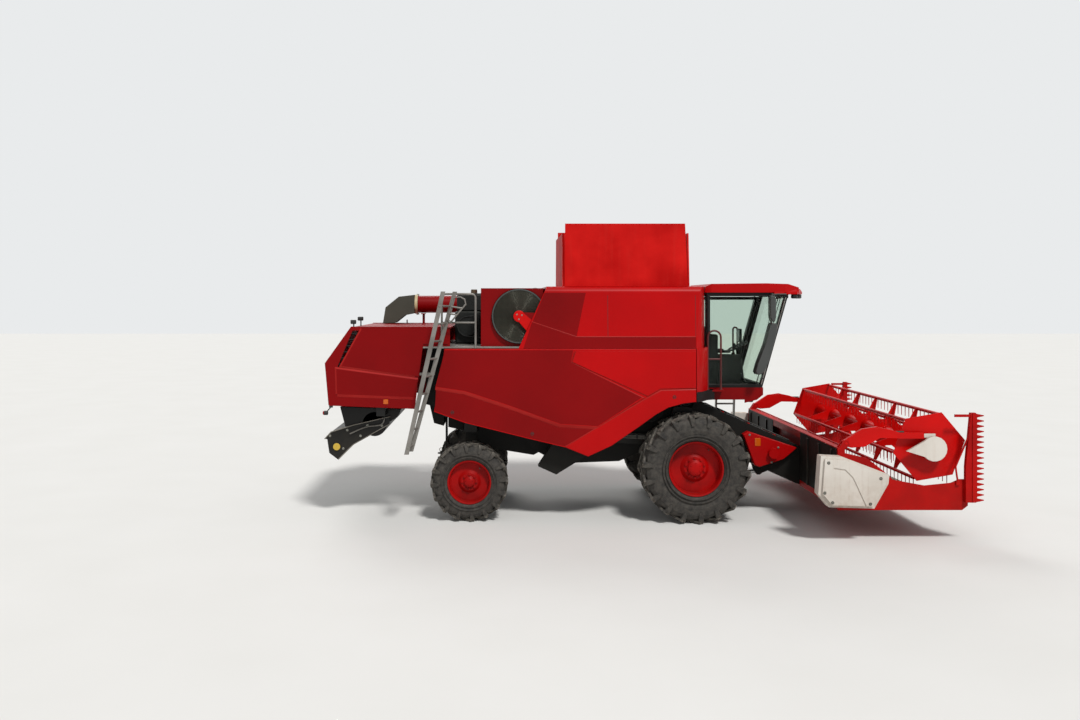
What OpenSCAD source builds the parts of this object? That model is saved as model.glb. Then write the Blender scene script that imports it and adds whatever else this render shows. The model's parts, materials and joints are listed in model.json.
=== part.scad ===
// Self-propelled combine harvester with a cutting header.
// X points forward, Y to the machine's left and Z up. The origin lies on the ground
// below the middle of the whole machine. Outlines are measured from the front axle.

/* [Running gear] */
// Distance between the front and the rear axle
wheelbase = 3817; // [3780:1:3850]
// Front axle ahead of the middle of the machine
front_axle_x = 1050; // [1000:1:1100]
// Radius of a drive tyre out to its lug tips
front_tyre_r = 920; // [890:1:930]
// Width of a drive tyre
front_tyre_w = 650; // [600:1:670]
// Width over the drive tyres
front_outer_w = 3300; // [3260:1:3360]
// Radius of a drive wheel's rim
front_rim_r = 440; // [420:1:450]
// Pairs of lugs round a drive tyre
front_lugs = 18; // [14:1:20]
// Radius of a steered tyre out to its lug tips
rear_tyre_r = 665; // [640:1:680]
// Width of a steered tyre
rear_tyre_w = 460; // [430:1:480]
// Width over the steered tyres
rear_outer_w = 2920; // [2900:1:2960]
// Radius of a steered wheel's rim
rear_rim_r = 350; // [330:1:360]
// Pairs of lugs round a steered tyre
rear_lugs = 16; // [12:1:18]
// Height of a tyre's lugs
lug_h = 42; // [30:1:48]
// Distance from a kingpin to the inner face of its tyre
kingpin_gap = 90; // [86:1:100]
// Radius of a kingpin
kingpin_r = 40; // [30:1:45]
// Length of a steering arm
steering_arm = 200; // [190:1:220]

/* [Body] */
// Width over the side panels
body_w = 3000; // [2980:1:3040]
// Thickness of the side panels
panel_t = 26; // [20:1:30]
// Height of the raised fields on the side panels
relief = 12; // [6:1:16]
// Height of the seam between the lower and the upper side panels
seam_z = 2935; // [2925:1:2945]
// Height of the top of the body
deck_z = 3990; // [3980:1:4010]
// Thickness of the body's sheet work
wall_t = 30; // [20:1:36]
// Width of the threshing housing
housing_w = 1560; // [1540:1:1580]
// Width over the rear hood
hood_w = 2800; // [2760:1:2840]
// Width between the hinges of the two long tank flaps
tank_w = 2280; // [2270:1:2290]
// Length between the hinges of the two short tank flaps
tank_l = 2170; // [2150:1:2190]
// Height of the two long tank flaps
side_flap_h = 1075; // [1040:1:1085]
// Height of the two short tank flaps
end_flap_h = 950; // [900:1:980]
// Thickness of a tank flap
flap_t = 24; // [20:1:26]
// Running gap between pieces that move past each other
gap = 8; // [6:1:10]
// Clearance of a fit
fit = 0.3; // [0.2:0.05:0.5]

/* [Cooling and unloading] */
// Radius of the rotary dust screen
screen_r = 464; // [440:1:470]
// Height of the middle of the dust screen
screen_z = 3482; // [3475:1:3490]
// Radius of the unloading tube
unload_r = 170; // [160:1:175]
// Height of the unloading tube's middle
unload_z = 3675; // [3670:1:3685]
// Distance of the unloading tube from the middle of the machine
unload_y = 1365; // [1360:1:1375]

/* [Cab] */
// Width of the cab
cab_w = 1700; // [1680:1:1720]
// Thickness of the cab's pillars
pillar_t = 60; // [50:1:70]
// Thickness of the glass
glass_t = 8; // [6:1:10]
// Height of the cab floor
floor_z = 2224; // [2220:1:2230]
// Height of the underside of the roof
roof_z = 3890; // [3880:1:3900]
// Thickness of the cab door
door_t = 50; // [40:1:55]

/* [Header] */
// Width between the header's end walls
header_w = 5500; // [5450:1:5550]
// Thickness of the header's end walls
end_wall_t = 25; // [20:1:30]
// Thickness of the header's end shields
shield_t = 225; // [200:1:235]
// Radius of the intake auger's drum
drum_r = 190; // [180:1:200]
// Radius of the intake auger's flights
flight_r = 300; // [290:1:305]
// Pitch of the intake auger's flights
flight_pitch = 500; // [480:1:520]
// Radius of the circle of reel bats
bat_circle_r = 540; // [525:1:545]
// Radius of a reel bat's tube
bat_r = 20; // [16:1:24]
// Length of a reel tine
tine_l = 185; // [170:1:190]
// Distance between two tines
tine_pitch = 150; // [140:1:170]
// Distance between two knife fingers
finger_pitch = 76.2; // [74:0.1:80]
// Width of the feeder house
feeder_w = 1500; // [1460:1:1520]
// Height of the feeder house across its slope
feeder_h = 620; // [600:1:624]

/* [Hidden] */
$fn = 48;

red = "#b3090c";
black = "#1d1e1c";
grey = "#8b8c88";
white = "#d9d8d0";

// Axles
rear_axle = -wheelbase;
front_tyre_y = (front_outer_w - front_tyre_w) / 2;
rear_tyre_y = (rear_outer_w - rear_tyre_w) / 2;
kingpin_y = rear_tyre_y - rear_tyre_w / 2 - kingpin_gap;
front_bore_r = 110;
rear_bore_r = 70;
rim_t = 18;
front_dish = front_tyre_w / 2 - 190;
rear_dish = rear_tyre_w / 2 - 110;
beam_h = 140;
fork_gap = 110;
fork_t = 40;
arm_h = 20;
arm_z = -fork_gap + 23;
hitch_r = 16;
hitch_z = 900;
hitch_x = -4390;

// Housing and frame
housing_y = housing_w / 2;
rail_t = 70;
rail_y = housing_y + rail_t;
rail_knee = [-3000, 1430];
rail_end = [-4300, 1720];
feeder_shaft_r = 50;

// Body
side_y = body_w / 2;
panel_hinge_r = panel_t / 2 + 1;
panel_hinge_y = side_y - relief - panel_t / 2;
panel_hinge_z = seam_z - panel_hinge_r;
body_low = seam_z + fit;
shoulder_r = 110;
inner_w = side_y - relief - wall_t;
tank_rear = -2205;
tank_front = tank_rear + tank_l;
tank_wall = 20;
flap_r = flap_t / 2 + 1;
side_hinge_z = deck_z + 12;
end_hinge_z = side_hinge_z - flap_t - gap;
deck_low = 2940;
deck_top = 2970;
ledge_z = unload_z - unload_r - 60;
recess_y = unload_y - unload_r - 20;
recess_front = -225;
hood_y = hood_w / 2;

// Cooling
screen_x = -2971;
screen_t = 60;
cooler_y = side_y - 170;
screen_y = cooler_y + screen_t;
cooler_rear = -3622;
cooler_front = -2560;
cooler_inner_y = 820;

// Cab
cab_y = cab_w / 2;
cab_rear = 330;
cab_foot_x = 1305;
cab_lean = 0.2813;
door_rear = 568;
door_low = floor_z + 48;
door_top = roof_z - 68;
door_hinge = [576, cab_y + 16];
door_pin_r = 14;
platform_top = 2200;
platform_y = side_y - 20;
ladder_pin = [1420, platform_y + 20];
ladder_pin_r = 14;

// Unloading
unload_pivot_x = -450;
spout_ring_x = -4962;

// Feeder
feeder_pivot = [100, 1680];
feeder_tilt = 24.1;
feeder_t = 25;

// Header
wall_x = 2087;
wall_low = 490;
wall_top = 1454;
sheet_t = 20;
beam = 116;
mouth_low = 640;
mouth_top = 1120;
mouth_y = 680;
auger_x = 2480;
auger_z = 850;
trough_gap = 26;
knife_x = 3900;
knife_z = 520;
header_y = header_w / 2;
reel_x = 3452;
reel_z = 1456;
reel_pivot = [2110, 1520];
reel_pin_r = 20;
plate_t = 8;
spiders = 5;
reel_end_y = header_y - 130;
arm_y = header_y - 80;
arm_t = 60;
tube_z = 1640;
tube_h = 90;
slide_h = 60;
shaft_r = 30;
side_knife_x = 3966;
side_knife_low = 620;
side_knife_top = 2010;

// Lift cylinders
lift_base = [160, 560];
lift_eye = [1300, 715];
lift_y = 560;
lift_tilt = atan2(lift_eye.y - lift_base.y, lift_eye.x - lift_base.x);
lift_l = norm(lift_eye - lift_base);
barrel_l = 900;
barrel_r = 62;
rod_r = 34;
rod_start = 480;
lift_pin_r = 25;
eye_play = 14;
lug_gap = 48;
lug_t = 24;

// Runs an outline in the side view from y0 to y1
module side(y0, y1) {
  translate([0, y1, 0]) rotate([90, 0, 0]) linear_extrude(y1 - y0) children();
}

// The same piece on the left and on the right
module both() {
  children();
  mirror([0, 1, 0]) children();
}

// A piece drawn on the left, or its mirror image on the right
module on(right) {
  mirror([0, right ? 1 : 0, 0]) children();
}

// A round bar from one point to another
module bar(p, q, r) {
  d = q - p;
  l = norm(d);
  translate(p) rotate([0, acos(d.z / l), atan2(d.y, d.x)]) cylinder(h = l, r = r);
}

// A tube bent through several points
module pipe(points, r) {
  for (i = [0 : len(points) - 2]) bar(points[i], points[i + 1], r);
  for (i = [1 : len(points) - 2]) translate(points[i]) sphere(r = r + 0.5);
}

// A block from its low corner to its high corner
module block(low, high) {
  translate(low) cube(high - low);
}

// A round shaft across the machine from y0 to y1
module shaft(x, z, y0, y1, r) {
  translate([x, y1, z]) rotate([90, 0, 0]) cylinder(h = y1 - y0, r = r);
}

module machine() {
  translate([front_axle_x, 0, 0]) children();
}

// Height of a rail's underside at x, behind its knee
function rail_low(x) = rail_knee.y + (rail_knee.x - x) * (rail_end.y - rail_knee.y) / (rail_knee.x - rail_end.x);

// Frame, final drives and cylinder brackets
module chassis_frame() {
  hub_y = front_tyre_y + front_dish - 14 - gap;
  color(black) machine() {
    both() {
      difference() {
        side(housing_y, rail_y) polygon([
          rail_end, rail_knee, [-2300, 1330], [-250, 1180], [190, 1180], [190, 1750], [20, 1880],
          [-250, 1880], [-400, 1400], [-2300, 1480], [-3000, 1570], [-4300, 1850]
        ]);
        shaft(feeder_pivot.x, feeder_pivot.y, housing_y - 10, rail_y + 10, feeder_shaft_r + fit);
      }
      block([-150, housing_y, front_tyre_r + 100], [150, rail_y, 1200]);
      shaft(0, front_tyre_r, 880, hub_y, 165);
      shaft(0, front_tyre_r, hub_y - 20, hub_y + 90, front_bore_r - fit);
      for (y = [lift_y - lug_gap - lug_t, lift_y + lug_gap]) side(y, y + lug_t) polygon([
        [-110, front_tyre_r - 100], [110, front_tyre_r - 100], [215, lift_base.y + 20],
        [200, lift_base.y - 50], [120, lift_base.y - 50]
      ]);
      shaft(lift_base.x, lift_base.y, lift_y - lug_gap - lug_t, lift_y + lug_gap + lug_t, lift_pin_r);
    }
    block([-150, -900, front_tyre_r - 150], [150, 900, front_tyre_r + 150]);
    block([-4300, -rail_y, 1720], [-4230, rail_y, 1822]);
    // Drop bracket and hitch
    block([-4300, -110, 820], [-4270, 110, 1725]);
    for (z = [hitch_z - 50, hitch_z + 30]) difference() {
      union() {
        block([hitch_x, -60, z], [-4290, 60, z + 20]);
        translate([hitch_x, 0, z]) cylinder(h = 20, r = 60);
      }
      translate([hitch_x, 0, z - 10]) cylinder(h = 40, r = hitch_r);
    }
  }
}

// Steered axle under its carrying frame
module rear_axle() {
  color(black) machine() translate([rear_axle, 0, rear_tyre_r]) {
    difference() {
      union() {
        block([-95, -kingpin_y + 115, -beam_h / 2], [95, kingpin_y - 115, beam_h / 2]);
        both() for (z = [-fork_gap - fork_t, fork_gap]) {
          translate([0, kingpin_y, z]) cylinder(h = fork_t, r = 75);
          block([-75, kingpin_y - 200, z], [75, kingpin_y, z + fork_t]);
        }
        both() block([-65, kingpin_y - 200, -fork_gap - 10], [65, kingpin_y - 115, fork_gap + 10]);
      }
      both() translate([0, kingpin_y, -200]) cylinder(h = 400, r = kingpin_r + fit);
    }
    block([-110, -140, 60], [110, 140, 1440 - rear_tyre_r]);
    side(-rail_y, rail_y) polygon([
      [-110, 1440 - rear_tyre_r], [110, 1440 - rear_tyre_r], [110, rail_low(rear_axle + 110) - rear_tyre_r],
      [-110, rail_low(rear_axle - 110) - rear_tyre_r]
    ]);
  }
}

// Threshing and separating housing between the frame rails
module threshing_housing() {
  color(black) machine() {
    side(-housing_y, housing_y) polygon([
      [60, deck_low], [60, 2100], [-180, 1960], [-260, 1330], [-700, 1150], [-1200, 920], [-2250, 880],
      [-2700, 1120], [-3000, 1500], [-3500, 1610], [-4300, 1850], [-4600, 1920], [-4600, deck_low]
    ]);
  }
}

// Slanting rear edge of the upper body at height z
function rear_edge(z) = -2984 + (z - body_low) * (-2500 + 2984) / (deck_z - body_low);

// Grain tank body: sides with round shoulders, round front corners, open behind
module body_form(inset, rear_extra, low) {
  y = side_y - relief - inset;
  top = deck_z - inset;
  r = shoulder_r - inset / 2;
  front = 250 - inset;
  intersection() {
    side(-y, y) polygon([
      [rear_edge(low) - rear_extra, low], [rear_edge(top) - rear_extra, top], [front, top], [front, low]
    ]);
    rotate([90, 0, 90]) translate([0, 0, -4000]) linear_extrude(5000) polygon(concat(
      [[-y, low]],
      [for (a = [180 : -15 : 90]) [-y + 60 + r + r * cos(a), top - r + r * sin(a)]],
      [for (a = [90 : -15 : 0]) [y - 60 - r + r * cos(a), top - r + r * sin(a)]],
      [[y, low]]
    ));
    translate([0, 0, low - 10]) linear_extrude(2000) polygon([
      [-4000, -y], [20 - inset, -y], [130 - inset, -y + 90], [front - 40, -y + 360], [front, -y + 480],
      [front, y - 480], [front - 40, y - 360], [130 - inset, y - 90], [20 - inset, y], [-4000, y]
    ]);
  }
}

module upper_body() {
  tank_y = tank_w / 2 + tank_wall / 2;
  color(red) machine() difference() {
    union() {
      difference() {
        body_form(0, 0, body_low);
        body_form(wall_t, 400, body_low - 20);
      }
      intersection() {
        body_form(wall_t / 2, 0, body_low);
        block([-3100, recess_y - wall_t, ledge_z - wall_t], [recess_front + wall_t, side_y, deck_z]);
      }
    }
    block([-4000, recess_y, ledge_z], [recess_front, side_y + 10, deck_z + 10]);
    block([tank_rear - tank_wall / 2, -tank_y, deck_low], [tank_front + tank_wall / 2, tank_y, deck_z + 10]);
    // Running room of the short flaps' hinges
    block([tank_rear - flap_r - gap, -tank_y, deck_z - wall_t - 5], [tank_front + flap_r + gap, tank_y, deck_z + 10]);
    block([-4000, -cooler_y - fit, 3000], [cooler_front + fit, -cooler_inner_y + 10, deck_z - wall_t + 1]);
  }
}

// Open tank with a hopper floor and hinge rims
module grain_tank() {
  y = tank_w / 2 + tank_wall / 2;
  x0 = tank_rear - tank_wall / 2;
  x1 = tank_front + tank_wall / 2;
  side_rim = side_hinge_z - flap_r - fit;
  end_rim = end_hinge_z - flap_r - fit;
  color(red) machine() difference() {
    block([x0, -y, deck_low], [x1, y, side_rim]);
    block([x0 - 10, -y + tank_wall, end_rim], [x1 + 10, y - tank_wall, side_rim + 10]);
    intersection() {
      block([x0 + tank_wall, -y + tank_wall, deck_low], [x1 - tank_wall, y - tank_wall, deck_z + 50]);
      side(-y, y) polygon([
        [x0, 3500], [-1500, 3060], [-700, 3060], [x1, 3500], [x1, deck_z + 50], [x0, deck_z + 50]
      ]);
      rotate([90, 0, 90]) translate([0, 0, -3000]) linear_extrude(4000) polygon([
        [-y, 3500], [-300, 3060], [300, 3060], [y, 3500], [y, deck_z + 50], [-y, deck_z + 50]
      ]);
    }
  }
}

// Hood over the straw outlet
module rear_hood() {
  color(red) machine() {
    difference() {
      side(-hood_y, hood_y) polygon([
        [-4742, 1908], [-6204, 1965], [-6269, 2680], [-5831, 3296], [-4145, 3293], [-4145, deck_top],
        [-4625, deck_top]
      ]);
      side(-hood_y + wall_t, hood_y - wall_t) polygon([
        [-4000, 1850], [-4000, 3263], [-5815, 3266], [-6238, 2672], [-6174, 1850]
      ]);
      // Slot beside the sloping rear edge
      both() side(hood_y - wall_t - 1, hood_y + 10) polygon([
        [-5800, 3240], [-5660, 3240], [-6000, 2620], [-6060, 2620]
      ]);
    }
    // Raised fields between the creases
    both() side(hood_y - 1, hood_y + relief) polygon([
      [-4760, 2110], [-6060, 2160], [-6075, 2590], [-4690, 2405]
    ]);
    both() side(hood_y - 1, hood_y + relief) polygon([
      [-4672, 2460], [-5990, 2640], [-5640, 3270], [-4180, 3270], [-4180, 3010], [-4600, 3010]
    ]);
  }
}

// Straw chopper with its spreader discs
module straw_chopper() {
  color(black) machine() {
    side(-1000, 1000) polygon([
      [-5020, 1855], [-6080, 1900], [-5960, 1560], [-5640, 1330], [-5300, 1330], [-5080, 1560]
    ]);
    both() {
      side(1000, 1030) polygon([
        [-5010, 1850], [-6060, 1880], [-6120, 1420], [-6306, 1170], [-6090, 990], [-5810, 1237], [-5250, 1290]
      ]);
      block([-5400, 1030, 1780], [-5250, hood_y - wall_t, 2000]);
      translate([-5980, 480, 1180]) cylinder(h = 60, r = 330);
      translate([-5980, 480, 1235]) cylinder(h = 120, r = 60);
      side(440, 520) polygon([[-6020, 1300], [-5940, 1300], [-5800, 1520], [-5960, 1570]]);
    }
  }
}

// Engine behind the grain tank
module engine() {
  color(grey) machine() {
    block([-3500, -420, deck_top], [-2420, 560, 3620]);
    block([-3380, -300, 3620], [-2540, 440, 3780]);
    shaft(-2960, screen_z, -cooler_inner_y, -420, 160);
    shaft(-3680, 3300, -400, 500, 190);
  }
}

module fuel_tank() {
  color(black) machine() block([-3620, 640, deck_top], [-2640, 1400, ledge_z - wall_t - 30]);
}

// Cooler box behind the rotary dust screen, with the fixed suction arm
module cooler_housing() {
  color(red) machine() {
    difference() {
      block([cooler_rear, -cooler_y, deck_top], [cooler_front, -cooler_inner_y, deck_z - wall_t]);
      shaft(screen_x, screen_z, -cooler_y - 10, -cooler_y + 90, screen_r + gap);
    }
    shaft(screen_x, screen_z, -cooler_y + 85, -cooler_y + 100, 60);
    shaft(screen_x, screen_z, -screen_y - 50, -cooler_y + 95, 45);
    side(-screen_y - 50, -screen_y - gap) polygon([
      [screen_x - 60, screen_z - 50], [screen_x + 40, screen_z - 70],
      [rear_edge(screen_z - 180) - 0.2, screen_z - 180], [rear_edge(screen_z + 60) - 0.2, screen_z + 60],
      [screen_x + 40, screen_z + 70], [screen_x - 60, screen_z + 50]
    ]);
  }
}

// Perforated rotary dust screen
module dust_screen() {
  face = -screen_y;
  color(grey) machine() difference() {
    union() {
      shaft(screen_x, screen_z, face, face + screen_t + 60, screen_r);
    }
    shaft(screen_x, screen_z, face + 12, face + screen_t + 61, screen_r - 14);
    shaft(screen_x, screen_z, face - 5, face + 30, 45 + fit);
  }
}

// Walkway and rails beside the engine
module engine_deck() {
  rail_r = 18;
  y = -side_y + 30;
  color(grey) machine() {
    block([-4600, -inner_w + 10, deck_low], [tank_rear - tank_wall / 2, inner_w - 10, deck_top]);
    pipe([[-4150, y, deck_top - 10], [-4150, y, 3930], [-3680, y, 3950], [-3680, y, deck_top - 10]], rail_r);
    bar([-4150, y, 3380], [-3680, y, 3380], rail_r);
    block([-3700, y - 25, deck_low], [-3660, y + 25, deck_top]);
    block([-4170, y - 25, deck_low], [-4130, y + 25, deck_top]);
  }
}

// Ladder to the engine deck
module rear_ladder() {
  lean = atan2(4180 - 4840, 3880 - 1210);
  rung_pitch = 265;
  color(grey) machine() {
    side(-side_y - 100, -side_y - 50) translate([-4840, 1210]) rotate(lean) {
      for (x = [-125, 65]) translate([x, 0]) square([60, 2750]);
      for (i = [0 : 9]) translate([-70, 80 + i * rung_pitch]) square([140, 40]);
    }
    for (p = [[-4605, 2490, 155], [-4385, 3060, 90]])
      block([p.x - p.z, -side_y - 60, p.y], [p.x + p.z, -hood_y - relief, p.y + 50]);
  }
}

// Belt drives and grain elevators between the housing and the side panels
module side_drives() {
  // A pulley's place and size: ahead of the front axle, height, radius
  pulleys = [[-700, 1900, 260], [-1500, 2300, 300], [-2300, 1900, 240], [-3100, 2200, 330], [-4000, 2450, 200]];
  color(grey) machine() {
    both() for (p = pulleys) {
      shaft(p.x, p.y, housing_y, housing_y + 120, 40);
      shaft(p.x, p.y, housing_y + 110, housing_y + 190, p.z);
    }
    both() side(housing_y + 230, housing_y + 430) polygon([
      [-1830, 1070], [-2330, 760], [-2640, 900], [-1400, 2860], [-1100, 2860]
    ]);
    both() side(housing_y, housing_y + 235) polygon([[-2000, 1100], [-2330, 920], [-2450, 1000], [-2100, 1250]]);
  }
}

// Body of the cab under its floor
module cab_base() {
  color(red) machine() {
    difference() {
      side(-cab_y, cab_y) polygon([
        [60, 2130], [330, floor_z], [cab_foot_x + 15, floor_z], [cab_foot_x + 15, 2095], [1214, 2010], [60, 2010]
      ]);
      side(-cab_y + 60, cab_y - 60) polygon([[400, 2120], [1180, 2120], [1180, 2060], [400, 2060]]);
    }
    side(-cab_y, -cab_y + 30) polygon([[1000, 2012], [1000, 1954], [1214, 2008], [1214, 2012]]);
    block([60, -cab_y - 200, 2170], [600, -cab_y, 2200]);
  }
}

// Side outline of the cab, moved in by an inset
function cab_outline(d) = [
  [cab_rear + d, floor_z + d], [cab_rear + d, roof_z - d],
  [cab_foot_x + cab_lean * (roof_z - floor_z - d) - d, roof_z - d],
  [cab_foot_x + cab_lean * d - d, floor_z + d]
];

module cab_frame() {
  d = pillar_t;
  color(black) machine() {
    difference() {
      side(-cab_y, cab_y) polygon(cab_outline(0));
      side(-cab_y + d, cab_y - d) polygon([
        [cab_rear + d, floor_z - 10], [cab_rear + d, roof_z + 10],
        [cab_foot_x + cab_lean * (roof_z - floor_z) - d, roof_z + 10], [cab_foot_x - d, floor_z - 10]
      ]);
      // Right window
      side(-cab_y - 10, -cab_y + d + 10) polygon(cab_outline(d));
      // Left rear window and door opening
      block([cab_rear + d, cab_y - d - 10, floor_z + d], [door_rear - gap - 40, cab_y + 10, roof_z - d]);
      side(cab_y - d - 10, cab_y + 10) polygon(door_outline(-gap));
      // Windscreen and rear window
      side(-cab_y + d, cab_y - d) polygon([
        [900, floor_z + d], [900, roof_z - d], [2000, roof_z - d], [2000, floor_z + d]
      ]);
      block([cab_rear - 10, -cab_y + 150, 2850], [cab_rear + d + 10, cab_y - 150, roof_z - d]);
    }
    for (z = [floor_z + 6, roof_z - 50]) difference() {
      union() {
        translate([door_hinge.x, door_hinge.y, z]) cylinder(h = 30, r = 26);
        block([door_hinge.x - 60, cab_y - 5, z], [door_hinge.x, door_hinge.y + 16, z + 30]);
      }
      translate([door_hinge.x, door_hinge.y, z - 5]) cylinder(h = 40, r = door_pin_r + fit);
    }
  }
}

// Outline of the door, moved in by an inset
function door_outline(d) = [
  [door_rear + d, door_low + d], [door_rear + d, door_top - d],
  [cab_foot_x + cab_lean * (door_top - d - floor_z) - pillar_t - 20 - d, door_top - d],
  [cab_foot_x + cab_lean * (door_low + d - floor_z) - pillar_t - 20 - d, door_low + d]
];

module cab_door() {
  color(black) machine() {
    difference() {
      side(cab_y - door_t, cab_y) polygon(door_outline(0));
      side(cab_y - door_t - 10, cab_y + 10) polygon(door_outline(55));
    }
    translate([door_hinge.x, door_hinge.y, floor_z + 10]) cylinder(h = roof_z - floor_z - 34, r = door_pin_r);
    for (z = [2400, 3000, 3600]) block([door_hinge.x, cab_y - 5, z], [door_hinge.x + 45, door_hinge.y + 8, z + 70]);
    block([1406, cab_y - 5, 2950], [1426, cab_y + 35, 3050]);
  }
}

module door_glass() {
  color(white) machine() side(cab_y - 30, cab_y - 30 + glass_t) polygon(door_outline(55 + fit));
}

module cab_glass() {
  d = pillar_t;
  y = cab_y - d - fit;
  color(white) machine() {
    side(-cab_y + 4, -cab_y + 4 + glass_t) polygon(cab_outline(d + fit));
    block([cab_rear + d + fit, cab_y - 12, floor_z + d + fit],
          [door_rear - gap - 40 - fit, cab_y - 4, roof_z - d - fit]);
    side(-y, y) polygon([
      [cab_foot_x + cab_lean * (d + fit) - 20 - glass_t, floor_z + d + fit],
      [cab_foot_x + cab_lean * (roof_z - floor_z - d - fit) - 20 - glass_t, roof_z - d - fit],
      [cab_foot_x + cab_lean * (roof_z - floor_z - d - fit) - 20, roof_z - d - fit],
      [cab_foot_x + cab_lean * (d + fit) - 20, floor_z + d + fit]
    ]);
    block([cab_rear + 20, -cab_y + 150 + fit, 2850 + fit],
          [cab_rear + 20 + glass_t, cab_y - 150 - fit, roof_z - d - fit]);
  }
}

// Roof with a peak over the windscreen
module cab_roof() {
  color(red) machine() intersection() {
    side(-cab_y - 60, cab_y + 60) polygon([
      [290, roof_z], [1860, roof_z], [1880, roof_z - 20], [2020, roof_z - 20], [2025, roof_z], [1960, 3980],
      [1750, 4040], [1360, 4052], [400, 4042], [300, 3990]
    ]);
    translate([0, 0, 3800]) linear_extrude(400) polygon([
      [280, -cab_y - 20], [400, -cab_y - 60], [1700, -cab_y - 60], [1960, -cab_y + 40], [2030, -400], [2030, 400],
      [1960, cab_y - 40], [1700, cab_y + 60], [400, cab_y + 60], [280, cab_y + 20]
    ]);
  }
}

// Cushions of the driver's seat
module seat_cushions() {
  color(black) machine() {
    block([520, -260, 2520], [980, 260, 2640]);
    side(-240, 240) polygon([[520, 2600], [430, 3280], [540, 3280], [640, 2640]]);
  }
}

// Pedestal of the driver's seat, steering column and control console
module cab_seat() {
  color(black) machine() {
    block([560, -150, floor_z], [860, 150, 2520]);
    block([560, -520, floor_z], [1000, -320, 2780]);
    block([1100, -70, floor_z], [1220, 70, floor_z + 40]);
    bar([1158, 0, floor_z + 20], [1080, 0, 2900], 45);
    translate([1075, 0, 2905]) rotate([0, -25, 0]) rotate_extrude() translate([190, 0]) circle(r = 16);
    translate([1075, 0, 2905]) rotate([0, -25, 0]) cylinder(h = 14, r = 60);
    for (a = [0 : 120 : 240]) translate([1075, 0, 2905]) rotate([0, -25, 0]) rotate([0, 0, a])
      block([40, -12, 0], [185, 12, 12]);
    block([1000, -470, 3000], [1040, -260, 3240]);
    bar([1020, -440, 2760], [1020, -440, 3010], 18);
    block([930, -470, 2700], [1040, -400, 2780]);
  }
}

module handrails() {
  r = 17;
  y = -cab_y - 150;
  color(grey) machine() {
    pipe([[316, y, platform_top], [316, y, 3210], [545, y, 3210], [545, y, platform_top]], r);
    bar([316, y, 2730], [545, y, 2730], r);
    pipe([[1335, platform_y - 20, platform_top], [1335, platform_y - 20, 3200],
          [1420, platform_y - 20, 3200], [1420, platform_y - 20, platform_top]], r);
    pipe([[340, platform_y - 20, platform_top], [340, platform_y - 20, 3200],
          [500, platform_y - 20, 3200], [500, platform_y - 20, platform_top]], r);
    bar([340, platform_y - 20, 2730], [500, platform_y - 20, 2730], r);
  }
}

module mirrors() {
  color(black) machine() both() {
    pipe([[1735, cab_y, 3865], [1735, cab_y + 80, 3865], [1700, cab_y + 350, 3830]], 14);
    bar([1700, cab_y + 350, 3835], [1700, cab_y + 350, 3380], 14);
    block([1680, cab_y + 260, 3560], [1720, cab_y + 440, 3800]);
    block([1680, cab_y + 270, 3330], [1720, cab_y + 430, 3500]);
  }
}

// Work lamps and road lamps
module lamps() {
  color(grey) machine() {
    for (y = [-720, -560, 560, 720]) block([1920, y - 55, roof_z - 80], [1990, y + 55, roof_z - 20]);
    both() block([cab_foot_x + 15, 600, 2110], [cab_foot_x + 50, 740, 2190]);
    both() block([-5820, hood_y - 200, 3296], [-5740, hood_y - 80, 3380]);
    both() block([-6200, hood_y - wall_t, 1850], [-6140, hood_y + 20, 1962.3]);
  }
}

// Platform beside the cab door
module boarding_platform() {
  color(grey) machine() {
    block([60, cab_y, platform_top - 40], [1440, platform_y, platform_top]);
    block([60, cab_y, 2050], [140, platform_y - 40, platform_top - 40]);
    block([1000, cab_y, 2050], [1060, platform_y - 40, platform_top - 40]);
    // Hinge pin of the boarding ladder
    block([ladder_pin.x - 20, platform_y - 5, platform_top - 40], [ladder_pin.x + 20, ladder_pin.y, platform_top]);
    translate([ladder_pin.x, ladder_pin.y, platform_top - 40]) cylinder(h = 40, r = 26);
    translate([ladder_pin.x, ladder_pin.y, 1960]) cylinder(h = platform_top - 1980, r = ladder_pin_r);
  }
}

module boarding_ladder() {
  y = platform_y + 10;
  top = platform_top - 60;
  foot = 450;
  lean = 200;
  steps = 6;
  pitch = (top - foot - 60) / (steps - 0.5);
  color(grey) machine() {
    difference() {
      union() {
        for (x = [1010, 1370]) translate([x, 0, 0]) rotate([90, 0, 90]) linear_extrude(30) polygon([
          [y, top], [y + 80, top], [y + 80 + lean, foot], [y + lean, foot]
        ]);
        translate([ladder_pin.x, ladder_pin.y, 1980]) cylinder(h = top - 1980, r = 28);
      }
      translate([ladder_pin.x, ladder_pin.y, 1970]) cylinder(h = 300, r = ladder_pin_r + fit);
    }
    for (i = [0 : steps - 1]) translate([1030, y + lean * (1 - i / (steps - 0.5)) + 2, foot + 30 + i * pitch])
      cube([350, 70, 30]);
  }
}

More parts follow.
